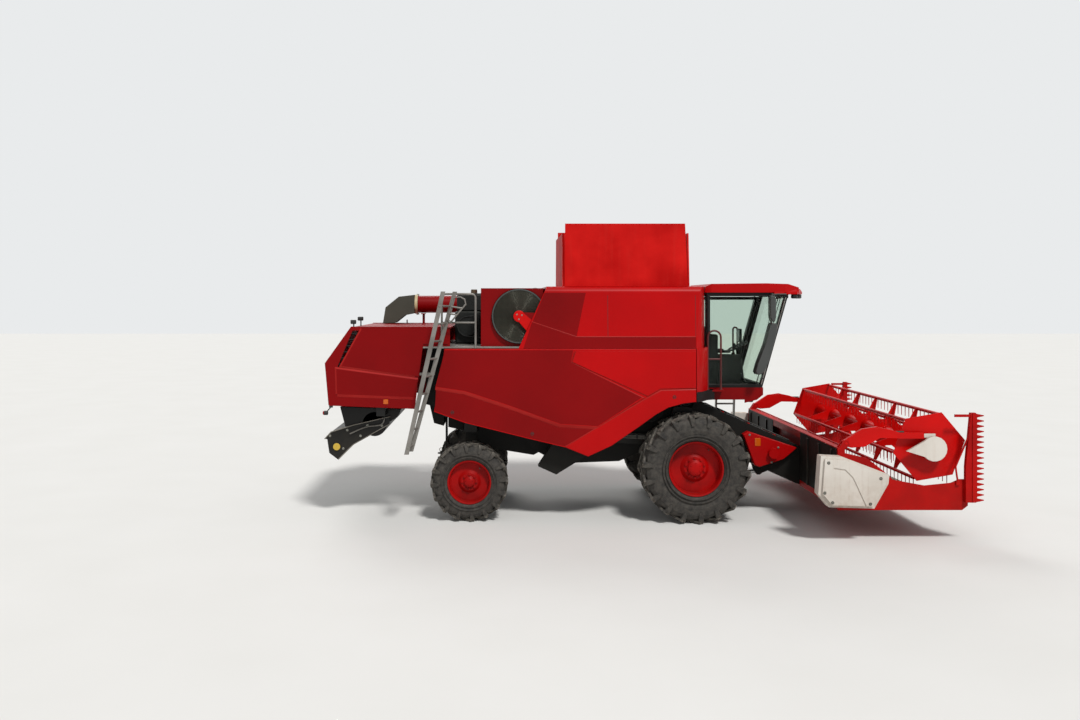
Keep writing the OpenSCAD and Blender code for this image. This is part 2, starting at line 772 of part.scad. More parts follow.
// Side panel that swings up about its top edge; outlines run [ahead of the front axle, height]
module side_panel() {
  base = side_y - relief;
  top = panel_hinge_z;
  bottom = [
    [-4410, 1872], [-3894, 1686], [-2860, 1428], [-2198, 1271], [-1806, 1114], [-1415, 1294], [-932, 1627],
    [-662, 1822], [-449, 1942], [-200, 2010], [20, 2036]
  ];
  difference() {
    union() {
      side(base - panel_t, base) polygon(concat(bottom, [[20, top], [-4235, top]]));
      // Strip along the wheel arch
      side(base - 5, side_y) polygon([
        [-2190, 1277], [-1806, 1122], [-1420, 1300], [-935, 1632], [-665, 1827], [-452, 1947], [-200, 2016],
        [16, 2042], [16, 2240], [-571, 2224], [-841, 2079]
      ]);
      // Field ahead of the slanting seam
      side(base - 5, side_y) polygon([
        [-2012, top - 30], [-2068, 2712], [-800, 1978 + 160], [-590, 2262], [16, 2276], [16, top - 30]
      ]);
      // Field above the long crease
      side(base - 5, side_y) polygon([
        [-4230, top - 30], [-4385, 2290], [-3894, 2216], [-3152, 1975], [-2282, 1660], [-1640, 1622],
        [-880, 2102], [-2100, 2700], [-2050, top - 30]
      ]);
      translate([-4235, panel_hinge_y, top]) rotate([0, 90, 0]) cylinder(h = 4255, r = panel_hinge_r);
    }
  }
}

module side_panel_right() {
  color(red) machine() on(true) side_panel();
}

module side_panel_left() {
  color(red) machine() on(false) side_panel();
}

// Long tank flap that stands on its hinge
module side_flap() {
  x0 = tank_rear + flap_r + gap;
  x1 = tank_front - flap_r - gap;
  y = tank_w / 2;
  side(y - flap_t / 2, y + flap_t / 2) polygon([
    [x0, side_hinge_z], [x0 + 10, side_hinge_z + side_flap_h], [x1 - 50, side_hinge_z + side_flap_h],
    [x1, side_hinge_z]
  ]);
  translate([x0, y, side_hinge_z]) rotate([0, 90, 0]) cylinder(h = x1 - x0, r = flap_r);
}

module tank_flap_right() {
  color(red) machine() on(true) side_flap();
}

module tank_flap_left() {
  color(red) machine() on(false) side_flap();
}

// Short tank flap at x
module end_flap(x) {
  y = tank_w / 2 - flap_r - gap;
  translate([x - flap_t / 2, 0, 0]) rotate([90, 0, 90]) linear_extrude(flap_t) polygon([
    [-y, end_hinge_z], [y, end_hinge_z], [y - 90, end_hinge_z + end_flap_h], [-y + 90, end_hinge_z + end_flap_h]
  ]);
  shaft(x, end_hinge_z, -y, y, flap_r);
}

module tank_flap_front() {
  color(red) machine() end_flap(tank_front);
}

module tank_flap_rear() {
  color(red) machine() end_flap(tank_rear);
}

// Swinging unloading tube on its elbow
module unloading_tube() {
  color(red) machine() {
    translate([unload_pivot_x, unload_y, ledge_z + fit]) cylinder(h = unload_z - ledge_z, r = unload_r + 5);
    translate([unload_pivot_x, unload_y, unload_z]) sphere(r = unload_r + 14);
    translate([spout_ring_x - 60, unload_y, unload_z]) rotate([0, 90, 0])
      cylinder(h = unload_pivot_x - spout_ring_x + 60, r = unload_r);
    translate([spout_ring_x - 30, unload_y, unload_z]) rotate([0, 90, 0]) cylinder(h = 60, r = unload_r + 14);
    for (x = [-2600, -1300]) translate([x, unload_y, unload_z]) rotate([0, 90, 0])
      cylinder(h = 30, r = unload_r + 10);
  }
}

module unloading_spout() {
  color(black) machine() difference() {
    side(unload_y - unload_r - 16, unload_y + unload_r + 16) polygon([
      [spout_ring_x - 30, unload_z - 178], [spout_ring_x - 30, unload_z + 186], [-5300, unload_z + 150],
      [-5560, unload_z - 60], [-5610, 3310], [-5370, 3310], [-5180, 3460]
    ]);
    side(unload_y - unload_r - 2, unload_y + unload_r + 2) polygon([
      [spout_ring_x - 20, unload_z - 173], [spout_ring_x - 20, unload_z + 173], [spout_ring_x - 75, unload_z + 173],
      [-5290, unload_z + 135],
      [-5545, unload_z - 66], [-5600, 3290], [-5380, 3290], [-5190, 3450]
    ]);
  }
}

// Drive or steered tyre with slanting lugs, hollow, axle along Y
module tyre(r, w, rim_r, lugs) {
  angle = 42;
  carcass = r - lug_h;
  mid_r = (rim_r + carcass) / 2;
  lug_l = 0.52 * w / cos(angle);
  lug_w = 0.26 * 2 * PI * r / lugs;
  sink = 14;
  skin = 36;
  reach = (lug_l * sin(angle) + lug_w * cos(angle)) / 2;
  drop = r - sqrt(r * r - reach * reach);
  // Half of the section: radius, distance from the middle
  outer = [
    [rim_r + fit, 0.39 * w], [rim_r + 26, 0.40 * w], [rim_r + 60, 0.46 * w], [mid_r, 0.5 * w],
    [carcass - 0.16 * w, 0.485 * w], [carcass - 0.07 * w, 0.44 * w], [carcass, 0.3 * w]
  ];
  inner = [
    [carcass - skin, 0.26 * w], [carcass - 0.16 * w, 0.44 * w], [mid_r, 0.5 * w - skin], [rim_r + 50, 0.37 * w],
    [rim_r + fit, 0.30 * w]
  ];
  half = concat(outer, inner);
  last = len(half) - 1;
  rotate([90, 0, 0]) rotate_extrude() polygon(concat(
    [for (p = outer) p],
    [for (i = [len(outer) - 1 : -1 : 0]) [outer[i].x, -outer[i].y]],
    [for (i = [len(inner) - 1 : -1 : 0]) [inner[i].x, -inner[i].y]],
    [for (p = inner) p]
  ));
  for (i = [0 : lugs - 1], s = [-1, 1])
    rotate([0, (i + s / 4) * 360 / lugs, 0]) translate([0, s * 0.225 * w, carcass - sink])
      rotate([0, 0, s * angle]) translate([-lug_w / 2, -lug_l / 2, 0])
        cube([lug_w, lug_l, lug_h + sink - drop]);
}

// Dished rim, axle along Y, outer side at +Y
module rim(r, w, dish, bore) {
  t = rim_t;
  rotate([-90, 0, 0]) rotate_extrude() polygon([
    [bore, dish - 14], [bore, dish + 14], [r * 0.42, dish + 14], [r * 0.55, dish - 30], [r - t, dish - 30],
    [r - t, 0.35 * w], [r - 2, 0.42 * w], [r + 22, 0.43 * w], [r + 22, 0.405 * w], [r, 0.395 * w],
    [r, -0.395 * w], [r + 22, -0.405 * w], [r + 22, -0.43 * w], [r - 2, -0.42 * w], [r - t, -0.35 * w],
    [r - t, dish - 50], [r * 0.52, dish - 50], [r * 0.40, dish - 14]
  ]);
}

module at_front_wheel(right) {
  machine() on(right) translate([0, front_tyre_y, front_tyre_r]) children();
}

module at_rear_wheel(right) {
  machine() on(right) translate([rear_axle, rear_tyre_y, rear_tyre_r]) children();
}

module front_tyre(right) {
  color(black) at_front_wheel(right) tyre(front_tyre_r, front_tyre_w, front_rim_r, front_lugs);
}

module rear_tyre(right) {
  color(black) at_rear_wheel(right) tyre(rear_tyre_r, rear_tyre_w, rear_rim_r, rear_lugs);
}

module front_rim(right) {
  color(red) at_front_wheel(right) rim(front_rim_r, front_tyre_w, front_dish, front_bore_r);
}

module rear_rim(right) {
  color(red) at_rear_wheel(right) rim(rear_rim_r, rear_tyre_w, rear_dish, rear_bore_r);
}

// Steering knuckle with its kingpin, stub axle and steering arm
module knuckle(right) {
  hub_y = rear_tyre_y - kingpin_y + rear_dish - 14 - gap;
  color(black) machine() on(right) translate([rear_axle, kingpin_y, rear_tyre_r]) difference() {
    union() {
      translate([0, 0, -fork_gap - fork_t - 5]) cylinder(h = 2 * (fork_gap + fork_t) + 10, r = kingpin_r);
      translate([0, 0, -fork_gap + gap]) cylinder(h = 2 * (fork_gap - gap), r = 70);
      shaft(0, 0, 30, hub_y, 62);
      shaft(0, 0, hub_y - 60, hub_y, 120);
      shaft(0, 0, hub_y - 5, hub_y + 80, rear_bore_r - fit);
      block([-steering_arm, -26, arm_z - arm_h / 2], [-40, 26, arm_z + arm_h / 2]);
      translate([-steering_arm, 0, arm_z - arm_h / 2]) cylinder(h = arm_h, r = 32);
    }
    translate([-steering_arm, 0, arm_z - 20]) cylinder(h = 40, r = 12 + fit);
  }
}

// Track rod between the steering arms
module tie_rod() {
  color(grey) machine() translate([rear_axle - steering_arm, 0, rear_tyre_r + arm_z]) {
    bar([0, -kingpin_y, -30], [0, kingpin_y, -30], 17);
    both() {
      translate([0, kingpin_y, -34]) cylinder(h = 66, r = 12);
      translate([0, kingpin_y, -48]) cylinder(h = 48 - arm_h / 2 - fit, r = 30);
    }
  }
}

// A point of the feeder: distance down its slope and above its middle
function feeder(u, n) = [
  feeder_pivot.x + u * cos(feeder_tilt) + n * sin(feeder_tilt),
  feeder_pivot.y - u * sin(feeder_tilt) + n * cos(feeder_tilt)
];

// Where the feeder's line at height n reaches the header wall
function feeder_end(n) =
  let (u = (wall_x - sheet_t - feeder_pivot.x - n * sin(feeder_tilt)) / cos(feeder_tilt)) feeder(u, n);

module feeder_house() {
  top = feeder_h / 2;
  t = feeder_t;
  y = feeder_w / 2;
  color(black) machine() {
    difference() {
      side(-y, y) polygon([
        feeder(-80, top), feeder_end(top), [wall_x - sheet_t, wall_low], feeder(2130, -top), feeder(-80, -top)
      ]);
      side(-y + t, y - t) polygon([
        feeder(-80 + t, top - t), feeder_end(top - t) + [10, -5], [wall_x, wall_low + t + 20],
        feeder(2130, -top + t), feeder(-80 + t, -top + t)
      ]);
    }
    shaft(feeder_pivot.x, feeder_pivot.y, -rail_y - 5, rail_y + 5, feeder_shaft_r);
    shaft(feeder_pivot.x, feeder_pivot.y, -600, 600, 150);
    // Ears for the eyes of the lift cylinders
    both() for (y0 = [lift_y - lug_gap - lug_t, lift_y + lug_gap]) side(y0, y0 + lug_t) polygon([
      feeder(1330, -top + 5), feeder(1640, -top + 5), lift_eye + [60, -30], lift_eye + [20, -60],
      lift_eye + [-30, -60], lift_eye + [-60, -20]
    ]);
    both() shaft(lift_eye.x, lift_eye.y, lift_y - lug_gap - lug_t, lift_y + lug_gap + lug_t, lift_pin_r);
  }
}

// Red drive cover on the feeder's right side
module feeder_drive() {
  y = feeder_w / 2;
  color(red) machine() {
    side(-y - 150, -y - 60) polygon([[996, 1454], [1917, 1156], [1514, 820], [1287, 908]]);
    side(-y - 62, -y) polygon([[1250, 1250], [1600, 1140], [1560, 960], [1330, 1010]]);
    shaft(1480, 1080, -y - 230, -y - 148, 90);
  }
}

// Header table: back wall with its mouth, beam, trough, floor and end walls
module header_table() {
  y = header_y;
  trough_r = flight_r + trough_gap;
  color(red) machine() {
    difference() {
      union() {
        block([wall_x - sheet_t, -y, wall_low], [wall_x, y, wall_top]);
        block([wall_x - beam, -y, wall_top - beam], [wall_x - 5, y, wall_top]);
        both() block([wall_x - 100, feeder_w / 2 + 5, wall_low], [wall_x - 5, y, wall_low + 100]);
      }
      block([wall_x - 200, -mouth_y, mouth_low], [wall_x + 10, mouth_y, mouth_top]);
    }
    difference() {
      side(-y, y) polygon([
        [wall_x - 5, wall_low], [wall_x - 5, auger_z - 180], [auger_x - 330, auger_z - 180],
        [auger_x, auger_z - trough_r + 10], [auger_x + 210, auger_z - trough_r + 60],
        [knife_x - 260, knife_z], [knife_x - 140, knife_z], [knife_x - 140, knife_z - 30], [2300, wall_low]
      ]);
      shaft(auger_x, auger_z, -y - 10, y + 10, trough_r);
      block([wall_x - 20, -mouth_y, mouth_low], [auger_x, mouth_y, auger_z]);
    }
    both() difference() {
      side(y, y + end_wall_t) polygon([
        [wall_x - beam, wall_low], [wall_x - beam, 1400], [2420, 1300], [2690, 1090], [2760, 760], [3250, 700],
        [3860, 970], [3990, 970], [3990, 560], [3900, 490]
      ]);
      shaft(auger_x, auger_z, y - 5, y + end_wall_t + 5, 45 + fit);
    }
    // Brackets of the reel arms
    both() for (y0 = [arm_y - 20 - fit, arm_y + arm_t + fit]) difference() {
      side(y0, y0 + 20) polygon([
        [wall_x - beam, wall_top - 30], [wall_x - 5, wall_top - 30], [reel_pivot.x + 50, reel_pivot.y - 20],
        [reel_pivot.x + 30, reel_pivot.y + 50], [reel_pivot.x - 40, reel_pivot.y + 50]
      ]);
      shaft(reel_pivot.x, reel_pivot.y, y0 - 5, y0 + 30, reel_pin_r + fit);
    }
  }
}

// Guard fingers and knife sections across the header
module cutter_bar() {
  count = floor((header_w - 20) / finger_pitch);
  y0 = -count * finger_pitch / 2;
  back = knife_x - 140;
  color(grey) machine() {
    translate([0, 0, knife_z - 30]) linear_extrude(22) polygon(concat(
      [[back, y0], [back, -y0]],
      [for (i = [count : -1 : 1], k = [0 : 3])
        [k == 1 || k == 2 ? knife_x : back + 55, y0 + finger_pitch * (i - [0.30, 0.46, 0.54, 0.70][k])]]
    ));
    translate([0, 0, knife_z - 8]) linear_extrude(8) polygon(concat(
      [[back, y0], [back, -y0]],
      [for (i = [count : -1 : 1], k = [0 : 2])
        [k == 1 ? knife_x - 25 : back + 50, y0 + finger_pitch * (i - [0.04, 0.5, 0.96][k])]]
    ));
  }
}

// Upright knives at both ends of the header
module side_knives() {
  y = header_y + end_wall_t;
  teeth = 17;
  pitch = (side_knife_top - side_knife_low) / teeth;
  color(grey) machine() both() {
    side(y, y + 70) polygon([
      [side_knife_x - 40, side_knife_low], [side_knife_x + 120, side_knife_low], [side_knife_x + 120, side_knife_top],
      [side_knife_x + 40, side_knife_top], [side_knife_x - 40, 1180]
    ]);
    side(y + 70, y + 82) polygon(concat(
      [[side_knife_x + 60, side_knife_top], [side_knife_x + 60, side_knife_low]],
      [for (i = [0 : teeth - 1], k = [0 : 3])
        [k == 1 || k == 2 ? 4200 : side_knife_x + 130, side_knife_low + pitch * (i + [0.15, 0.42, 0.58, 0.85][k])]]
    ));
    pipe([[side_knife_x + 20, y + 50, 1669], [side_knife_x - 190, y + 50, 1180], [side_knife_x - 180, y + 50, 1095],
          [3825, y + 22, 920]], 14);
    block([3795, y, 885], [3850, y + 34, 940]);
    block([3760, y + 36, 1945], [side_knife_x + 60, y + 64, 1985]);
  }
}

// Shields over the drives at the header's ends
module end_shields() {
  y = header_y + end_wall_t;
  outline = [
    [1644, 1361], [1971, 1347], [2696, 1072], [2682, 936], [2465, 553], [1769, 573], [1602, 772]
  ];
  color(white) machine() both() difference() {
    union() {
      side(y, y + shield_t - 40) polygon(outline);
      side(y + shield_t - 41, y + shield_t) polygon([for (p = outline) [2150 + (p.x - 2150) * 0.9, 950 + (p.y - 950) * 0.9]]);
    }
    side(y + shield_t - 12, y + shield_t + 10) polygon([
      [1830, 1165], [2000, 1140], [2110, 1025], [2310, 600], [2330, 600], [2130, 1035], [2010, 1160], [1830, 1185]
    ]);
  }
}

// One thin helical flight from y0 to y1
module flight(y0, y1, hand) {
  steps = 18;
  n = round(abs(y1 - y0) / flight_pitch * steps);
  t = 8;
  ring = [[drum_r + fit, 0], [flight_r, 0], [flight_r, t], [drum_r + fit, t]];
  points = [for (i = [0 : n]) let (a = hand * 360 * i / steps, y = y0 + (y1 - y0 - t) * i / n)
    for (p = ring) [p.x * cos(a), y + p.y, p.x * sin(a)]];
  quads = concat(
    [[0, 1, 2, 3]],
    [for (i = [0 : n - 1], k = [0 : 3]) [4 * i + k, 4 * i + 4 + k, 4 * i + 4 + (k + 1) % 4, 4 * i + (k + 1) % 4]],
    [[4 * n + 3, 4 * n + 2, 4 * n + 1, 4 * n]]
  );
  polyhedron(points, hand > 0 ? quads : [for (q = quads) [q[3], q[2], q[1], q[0]]]);
}

module intake_auger() {
  y = header_y - gap;
  shaft_y = header_y + end_wall_t - 5;
  color(red) machine() translate([auger_x, 0, auger_z]) {
    rotate([90, 0, 0]) translate([0, 0, -y]) cylinder(h = 2 * y, r = drum_r);
    rotate([90, 0, 0]) translate([0, 0, -shaft_y]) cylinder(h = 2 * shaft_y, r = 45);
    // Fingers of the middle section
    for (i = [0 : 9]) rotate([0, i * 72 + 18, 0]) translate([0, -540 + i * 120, drum_r - 5])
      cylinder(h = 100, r = 9);
    flight(-header_y + 40, -640, 1);
    flight(header_y - 40, 640, 1);
  }
}

// Lifting arms of the reel with their guide tubes
module reel_arms() {
  color(red) machine() both() {
    difference() {
      side(arm_y, arm_y + arm_t) polygon([
        [reel_pivot.x - 45, reel_pivot.y - 40], [reel_pivot.x + 40, reel_pivot.y - 45], [2400, 1655],
        [2600, 1690], [2900, tube_z - 45], [3330, tube_z - 45], [3330, tube_z + 45], [2950, tube_z + 50],
        [2600, 1780], [2360, 1745], [reel_pivot.x - 50, reel_pivot.y + 30]
      ]);
      block([2980, arm_y + 10, tube_z - slide_h / 2], [3340, arm_y + arm_t - 10, tube_z + slide_h / 2]);
    }
    shaft(reel_pivot.x, reel_pivot.y, arm_y - 22, arm_y + arm_t + 22, reel_pin_r);
  }
}

// Sliding carriages that hold the reel's shaft, with their covers
module reel_carriage() {
  color(white) machine() both() {
    block([2985, arm_y + 10 + fit, tube_z - slide_h / 2 + fit],
          [reel_x, arm_y + arm_t - 10 - fit, tube_z + slide_h / 2 - fit]);
    difference() {
      union() {
        block([reel_x - 60, arm_y + 10 + fit, reel_z], [reel_x + 60, arm_y + arm_t - 10 - fit, tube_z + 30]);
        shaft(reel_x, reel_z, arm_y + 10 + fit, arm_y + arm_t + 30, 90);
        side(arm_y + arm_t + 15, arm_y + arm_t + 60) polygon(concat(
          [for (a = [-140 : 20 : 140]) [reel_x + 18, reel_z - 13] + 195 * [cos(a), sin(a)]],
          [[reel_x - 417, reel_z - 50]]
        ));
      }
      shaft(reel_x, reel_z, arm_y - 10, arm_y + arm_t, shaft_r + fit);
    }
  }
}

// Place of a spider along the reel
function spider_y(k) = -reel_end_y + k * 2 * reel_end_y / (spiders + 1);

// Reel: end plates, centre tube and spiders
module reel() {
  y = reel_end_y;
  color(red) machine() translate([reel_x, 0, reel_z]) {
    rotate([90, 0, 0]) translate([0, 0, -y + 5]) cylinder(h = 2 * y - 10, r = 62);
    rotate([90, 0, 0]) translate([0, 0, -arm_y - arm_t + 15]) cylinder(h = 2 * (arm_y + arm_t - 15), r = shaft_r);
    both() translate([0, y + plate_t, 0]) rotate([90, 0, 0]) difference() {
      rotate(10) circle_plate(574, plate_t);
      for (i = [0 : 5]) rotate(10 + i * 60) translate([bat_circle_r, 0, -1]) cylinder(h = plate_t + 2, r = bat_r + fit);
    }
    for (k = [1 : spiders]) translate([0, spider_y(k), 0]) for (i = [0 : 5])
      rotate([0, -10 - i * 60, 0]) block([55, -4, -25], [bat_circle_r - bat_r - fit, 4, 25]);
  }
}

module circle_plate(r, t) {
  linear_extrude(t) circle(r = r, $fn = 6);
}

// Bats with their rows of hanging tines
module reel_tines() {
  count = floor(2 * (reel_end_y - 60) / tine_pitch);
  y0 = -count * tine_pitch / 2;
  color(grey) machine() translate([reel_x, 0, reel_z]) for (i = [0 : 5]) {
    a = 10 + i * 60;
    translate([bat_circle_r * cos(a), 0, bat_circle_r * sin(a)]) {
      rotate([90, 0, 0]) translate([0, 0, -reel_end_y - plate_t]) cylinder(h = 2 * (reel_end_y + plate_t), r = bat_r);
      difference() {
        translate([-4, 0, 0]) rotate([90, 0, 90]) linear_extrude(8) polygon(concat(
          [[-y0, -10], [y0, -10]],
          [for (k = [0 : count - 1], j = [0 : 3])
            [y0 + (k + [0.44, 0.47, 0.53, 0.56][j]) * tine_pitch, [-bat_r - 14, -tine_l, -tine_l, -bat_r - 14][j]]]
        ));
        for (k = [1 : spiders])
          translate([-5, spider_y(k) - 4 - fit, -bat_r - 20]) cube([10, 8 + 2 * fit, bat_r + 15]);
      }
    }
  }
}

// Barrels of the two lift cylinders
module lift_barrels() {
  color(black) machine() both() translate([lift_base.x, lift_y, lift_base.y]) rotate([0, -lift_tilt, 0]) difference() {
    union() {
      translate([0, lug_gap - fit, 0]) rotate([90, 0, 0]) cylinder(h = 2 * (lug_gap - fit), r = 55);
      translate([20, 0, 0]) rotate([0, 90, 0]) cylinder(h = barrel_l - 20, r = barrel_r - 14);
      translate([90, 0, 0]) rotate([0, 90, 0]) cylinder(h = barrel_l - 90, r = barrel_r);
    }
    rotate([90, 0, 0]) translate([0, 0, -100]) cylinder(h = 200, r = lift_pin_r + fit);
    translate([rod_start - 140, 0, 0]) rotate([0, 90, 0]) cylinder(h = barrel_l, r = rod_r + fit);
  }
}

// Rods of the two lift cylinders; each eye has play round its pin
module lift_rods() {
  color(grey) machine() both() translate([lift_base.x, lift_y, lift_base.y]) rotate([0, -lift_tilt, 0]) difference() {
    union() {
      translate([rod_start, 0, 0]) rotate([0, 90, 0]) cylinder(h = lift_l - rod_start - 30, r = rod_r);
      translate([lift_l, lug_gap - 4, 0]) rotate([90, 0, 0]) cylinder(h = 2 * (lug_gap - 4), r = 62);
    }
    translate([lift_l, 100, 0]) rotate([90, 0, 0]) cylinder(h = 200, r = lift_pin_r + eye_play);
  }
}

chassis_frame();
rear_axle();
threshing_housing();
upper_body();
rear_hood();
straw_chopper();
grain_tank();
engine();
fuel_tank();
cooler_housing();
engine_deck();
rear_ladder();
side_drives();
cab_base();
cab_frame();
cab_roof();
cab_glass();
cab_seat();
seat_cushions();
handrails();
mirrors();
lamps();
boarding_platform();
cab_door();
door_glass();
boarding_ladder();
side_panel_right();
side_panel_left();
tank_flap_right();
tank_flap_left();
tank_flap_front();
tank_flap_rear();
unloading_tube();
unloading_spout();
dust_screen();
front_tyre(true);  // front_tyre_right
front_tyre(false);  // front_tyre_left
front_rim(true);  // front_rim_right
front_rim(false);  // front_rim_left
rear_tyre(true);  // rear_tyre_right
rear_tyre(false);  // rear_tyre_left
rear_rim(true);  // rear_rim_right
rear_rim(false);  // rear_rim_left
knuckle(true);  // knuckle_right
knuckle(false);  // knuckle_left
tie_rod();
feeder_house();
feeder_drive();
header_table();
cutter_bar();
side_knives();
end_shields();
intake_auger();
reel_arms();
reel_carriage();
reel();
reel_tines();
lift_barrels();
lift_rods();
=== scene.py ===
"""Looks of a combine harvester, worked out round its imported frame.

Metres throughout. X points forward and is counted from the front axle, Y points to the
machine's left and Z up. A piece is moved to the frame's own origin when its mesh is made.
"""

import json
import math

import bmesh
import bpy
import numpy as np
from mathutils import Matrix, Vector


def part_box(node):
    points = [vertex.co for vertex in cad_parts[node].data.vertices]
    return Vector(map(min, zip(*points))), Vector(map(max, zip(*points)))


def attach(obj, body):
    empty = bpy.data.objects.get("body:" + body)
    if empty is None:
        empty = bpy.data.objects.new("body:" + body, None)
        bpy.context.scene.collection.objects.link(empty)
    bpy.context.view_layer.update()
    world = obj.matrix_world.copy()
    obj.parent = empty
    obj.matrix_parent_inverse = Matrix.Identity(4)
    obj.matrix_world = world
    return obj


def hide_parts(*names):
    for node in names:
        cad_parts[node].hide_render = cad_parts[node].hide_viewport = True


bl_info = {
    "name": "Combine harvester",
    "version": (1, 1, 0),
    "blender": (4, 5, 0),
    "location": "3D View > Sidebar > Harvester",
    "description": "Dresses the packed frame of a combine harvester",
    "category": "Add Mesh",
}

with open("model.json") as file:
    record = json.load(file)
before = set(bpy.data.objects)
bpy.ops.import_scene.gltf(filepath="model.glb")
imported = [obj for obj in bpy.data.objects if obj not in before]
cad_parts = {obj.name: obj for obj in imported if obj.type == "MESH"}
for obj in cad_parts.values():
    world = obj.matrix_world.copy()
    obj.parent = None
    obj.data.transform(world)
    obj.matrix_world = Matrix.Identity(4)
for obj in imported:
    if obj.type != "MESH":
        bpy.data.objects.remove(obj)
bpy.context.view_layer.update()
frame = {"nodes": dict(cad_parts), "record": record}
AXLE = np.array([sum(c[0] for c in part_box("front_tyre_left")) / 2, 0, 0])
SIDES = ((-1, "right"), (1, "left"))
AHEAD, BACK, LEFT, RIGHT, UP = (1, 0, 0), (-1, 0, 0), (0, 1, 0), (0, -1, 0), (0, 0, 1)


def corners(node):
    """Lowest and highest corner of a CAD node, X counted from the front axle."""
    low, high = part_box(node)
    return np.array(low) - AXLE, np.array(high) - AXLE


# Boxes read from the frame
FRONT_TYRE = corners("front_tyre_left")
REAR_TYRE = corners("rear_tyre_left")
HOOD = corners("rear_hood")
ROOF = corners("cab_roof")
HEADER = corners("header_table")
REEL = corners("reel")
REEL_AXIS = (REEL[0] + REEL[1]) / 2 * [1, 0, 1]
FLOOR_Z = corners("cab_base")[1][2]
# The side panels' outer face, and the sheet that their pressed folds fall back to
SIDE_Y = corners("side_panel_left")[1][1]
RELIEF = 0.012
SHEET_Y = SIDE_Y - RELIEF
# The tyres' lugs: their height, and how far they slant from the axle's direction
LUG_HEIGHT = 0.042
LUG_SLANT = math.radians(42)
# The upper body: the height of its round shoulder, and how far its sides lean in below it
SHOULDER = 0.11
LEAN = 0.06
# The posts of the engine deck's rail, on its right edge
POSTS_X, POSTS_Y = (-4.28, -3.709), -1.47
# The unloading tube's middle line
TUBE_Y, TUBE_Z = 1.365, 3.675
# The windscreen: its foot ahead of the axle and how far it leans forward for each metre of height
WINDSCREEN_FOOT = 1.285
WINDSCREEN_LEAN = 0.2813
# The feeder house: its pivot, slope and half height
FEEDER_PIVOT = np.array([0.1, 1.68])
FEEDER_SLOPE = math.radians(24.1)
FEEDER_HALF = 0.31


# ---------------------------------------------------------------- shapes

def unit(v):
    """Vectors scaled to length 1."""
    return v / np.linalg.norm(v, axis=-1, keepdims=True)


def across(axis):
    """Two directions square to an axis and to each other."""
    axis = unit(np.array(axis, float))
    u = unit(np.cross(axis, np.eye(3)[np.argmin(np.abs(axis))]))
    return u, np.cross(axis, u)


def skin(grid, around=True, caps=True, ring=False):
    """Quads over points G[i, j]; around closes the second parameter, ring the first, and caps fills both end rows."""
    n, m = grid.shape[:2]
    i, j = np.meshgrid(np.arange(n if ring else n - 1), np.arange(m if around else m - 1), indexing="ij")
    k, h = (j + 1) % m, (i + 1) % n
    faces = np.stack([i * m + j, i * m + k, h * m + k, h * m + j], -1).reshape(-1, 4).tolist()
    if caps and not ring:
        faces += [list(range(m))[::-1], list(range((n - 1) * m, n * m))]
    return grid.reshape(-1, 3), faces


def curve(points, steps=8):
    """Smooth line through points: a Catmull-Rom cubic between each two of them."""
    p = np.array(points, float)
    p = np.vstack([2 * p[0] - p[1], p, 2 * p[-1] - p[-2]])
    t = np.linspace(0, 1, steps, endpoint=False)[None, :, None]
    a, b, c, d = (p[k:len(p) - 3 + k, None, :] for k in range(4))
    line = 0.5 * (2 * b + (c - a) * t + (2 * a - 5 * b + 4 * c - d) * t**2 + (3 * b - a - 3 * c + d) * t**3)
    return np.vstack([line.reshape(-1, 3), p[-2]])


def tube(path, radius, sides=12):
    """A circle carried along a path: P(s, a) = C(s) + r (cos a N(s) + sin a B(s))."""
    path = np.array(path, float)
    along = unit(np.gradient(path, axis=0))
    n = unit(np.cross(along, np.eye(3)[np.argmin(np.ptp(path, axis=0))]))
    a = np.linspace(0, 2 * np.pi, sides, endpoint=False)[None, :, None]
    r = np.broadcast_to(radius, len(path)).reshape(-1, 1, 1)
    return skin(path[:, None] + r * (np.cos(a) * n[:, None] + np.sin(a) * np.cross(along, n)[:, None]))


def rod(start, end, radius, sides=12):
    """A straight round bar between two points."""
    start, end = np.array(start, float), np.array(end, float)
    u, v = across(end - start)
    a = np.linspace(0, 2 * np.pi, sides, endpoint=False)[None, :, None]
    return skin(np.array([start, end])[:, None] + radius * (np.cos(a) * u + np.sin(a) * v))


def lathe(profile, centre, axis, sides=32, ring=False):
    """A profile of (radius, height) turned about an axis: P(s, a) = C + h(s) A + r(s) (cos a U + sin a V)."""
    profile, axis = np.array(profile, float), unit(np.array(axis, float))
    u, v = across(axis)
    a = np.linspace(0, 2 * np.pi, sides, endpoint=False)[None, :, None]
    r, h = profile[:, 0, None, None], profile[:, 1, None, None]
    return skin(np.array(centre, float) + h * axis + r * (np.cos(a) * u + np.sin(a) * v), ring=ring)


def extruded(outline, low, high, axis=1):
    """A flat outline moved from low to high along an axis. The outline's two numbers fill the other two axes."""
    flat = np.array(outline, float)
    grid = np.zeros((2, len(flat), 3))
    grid[:, :, [k for k in range(3) if k != axis]] = flat
    grid[0, :, axis], grid[1, :, axis] = low, high
    return skin(grid)


def slab(low, high, round_off=0.006):
    """A block whose edges are cut at 45 degrees: eight-sided rows that shrink at both ends of Z."""
    low, high = np.array(low, float), np.array(high, float)
    c = min(round_off, *(0.45 * (high - low)))
    x, y = (high - low)[:2] / 2
    sign = np.array([(1, 1), (-1, 1), (-1, -1), (1, -1)])
    wide = np.array([[(x, y - c), (x - c, y)], [(x - c, y), (x, y - c)]])
    row = np.concatenate([s * wide[k % 2] for k, s in enumerate(sign)])
    small = row * (1 - c / np.array([x, y]))
    grid = np.array([np.column_stack([r, np.full(8, z)]) for r, z in
                     ((small, low[2]), (row, low[2] + c), (row, high[2] - c), (small, high[2]))])
    grid[:, :, :2] += (low + high)[:2] / 2
    return skin(grid)


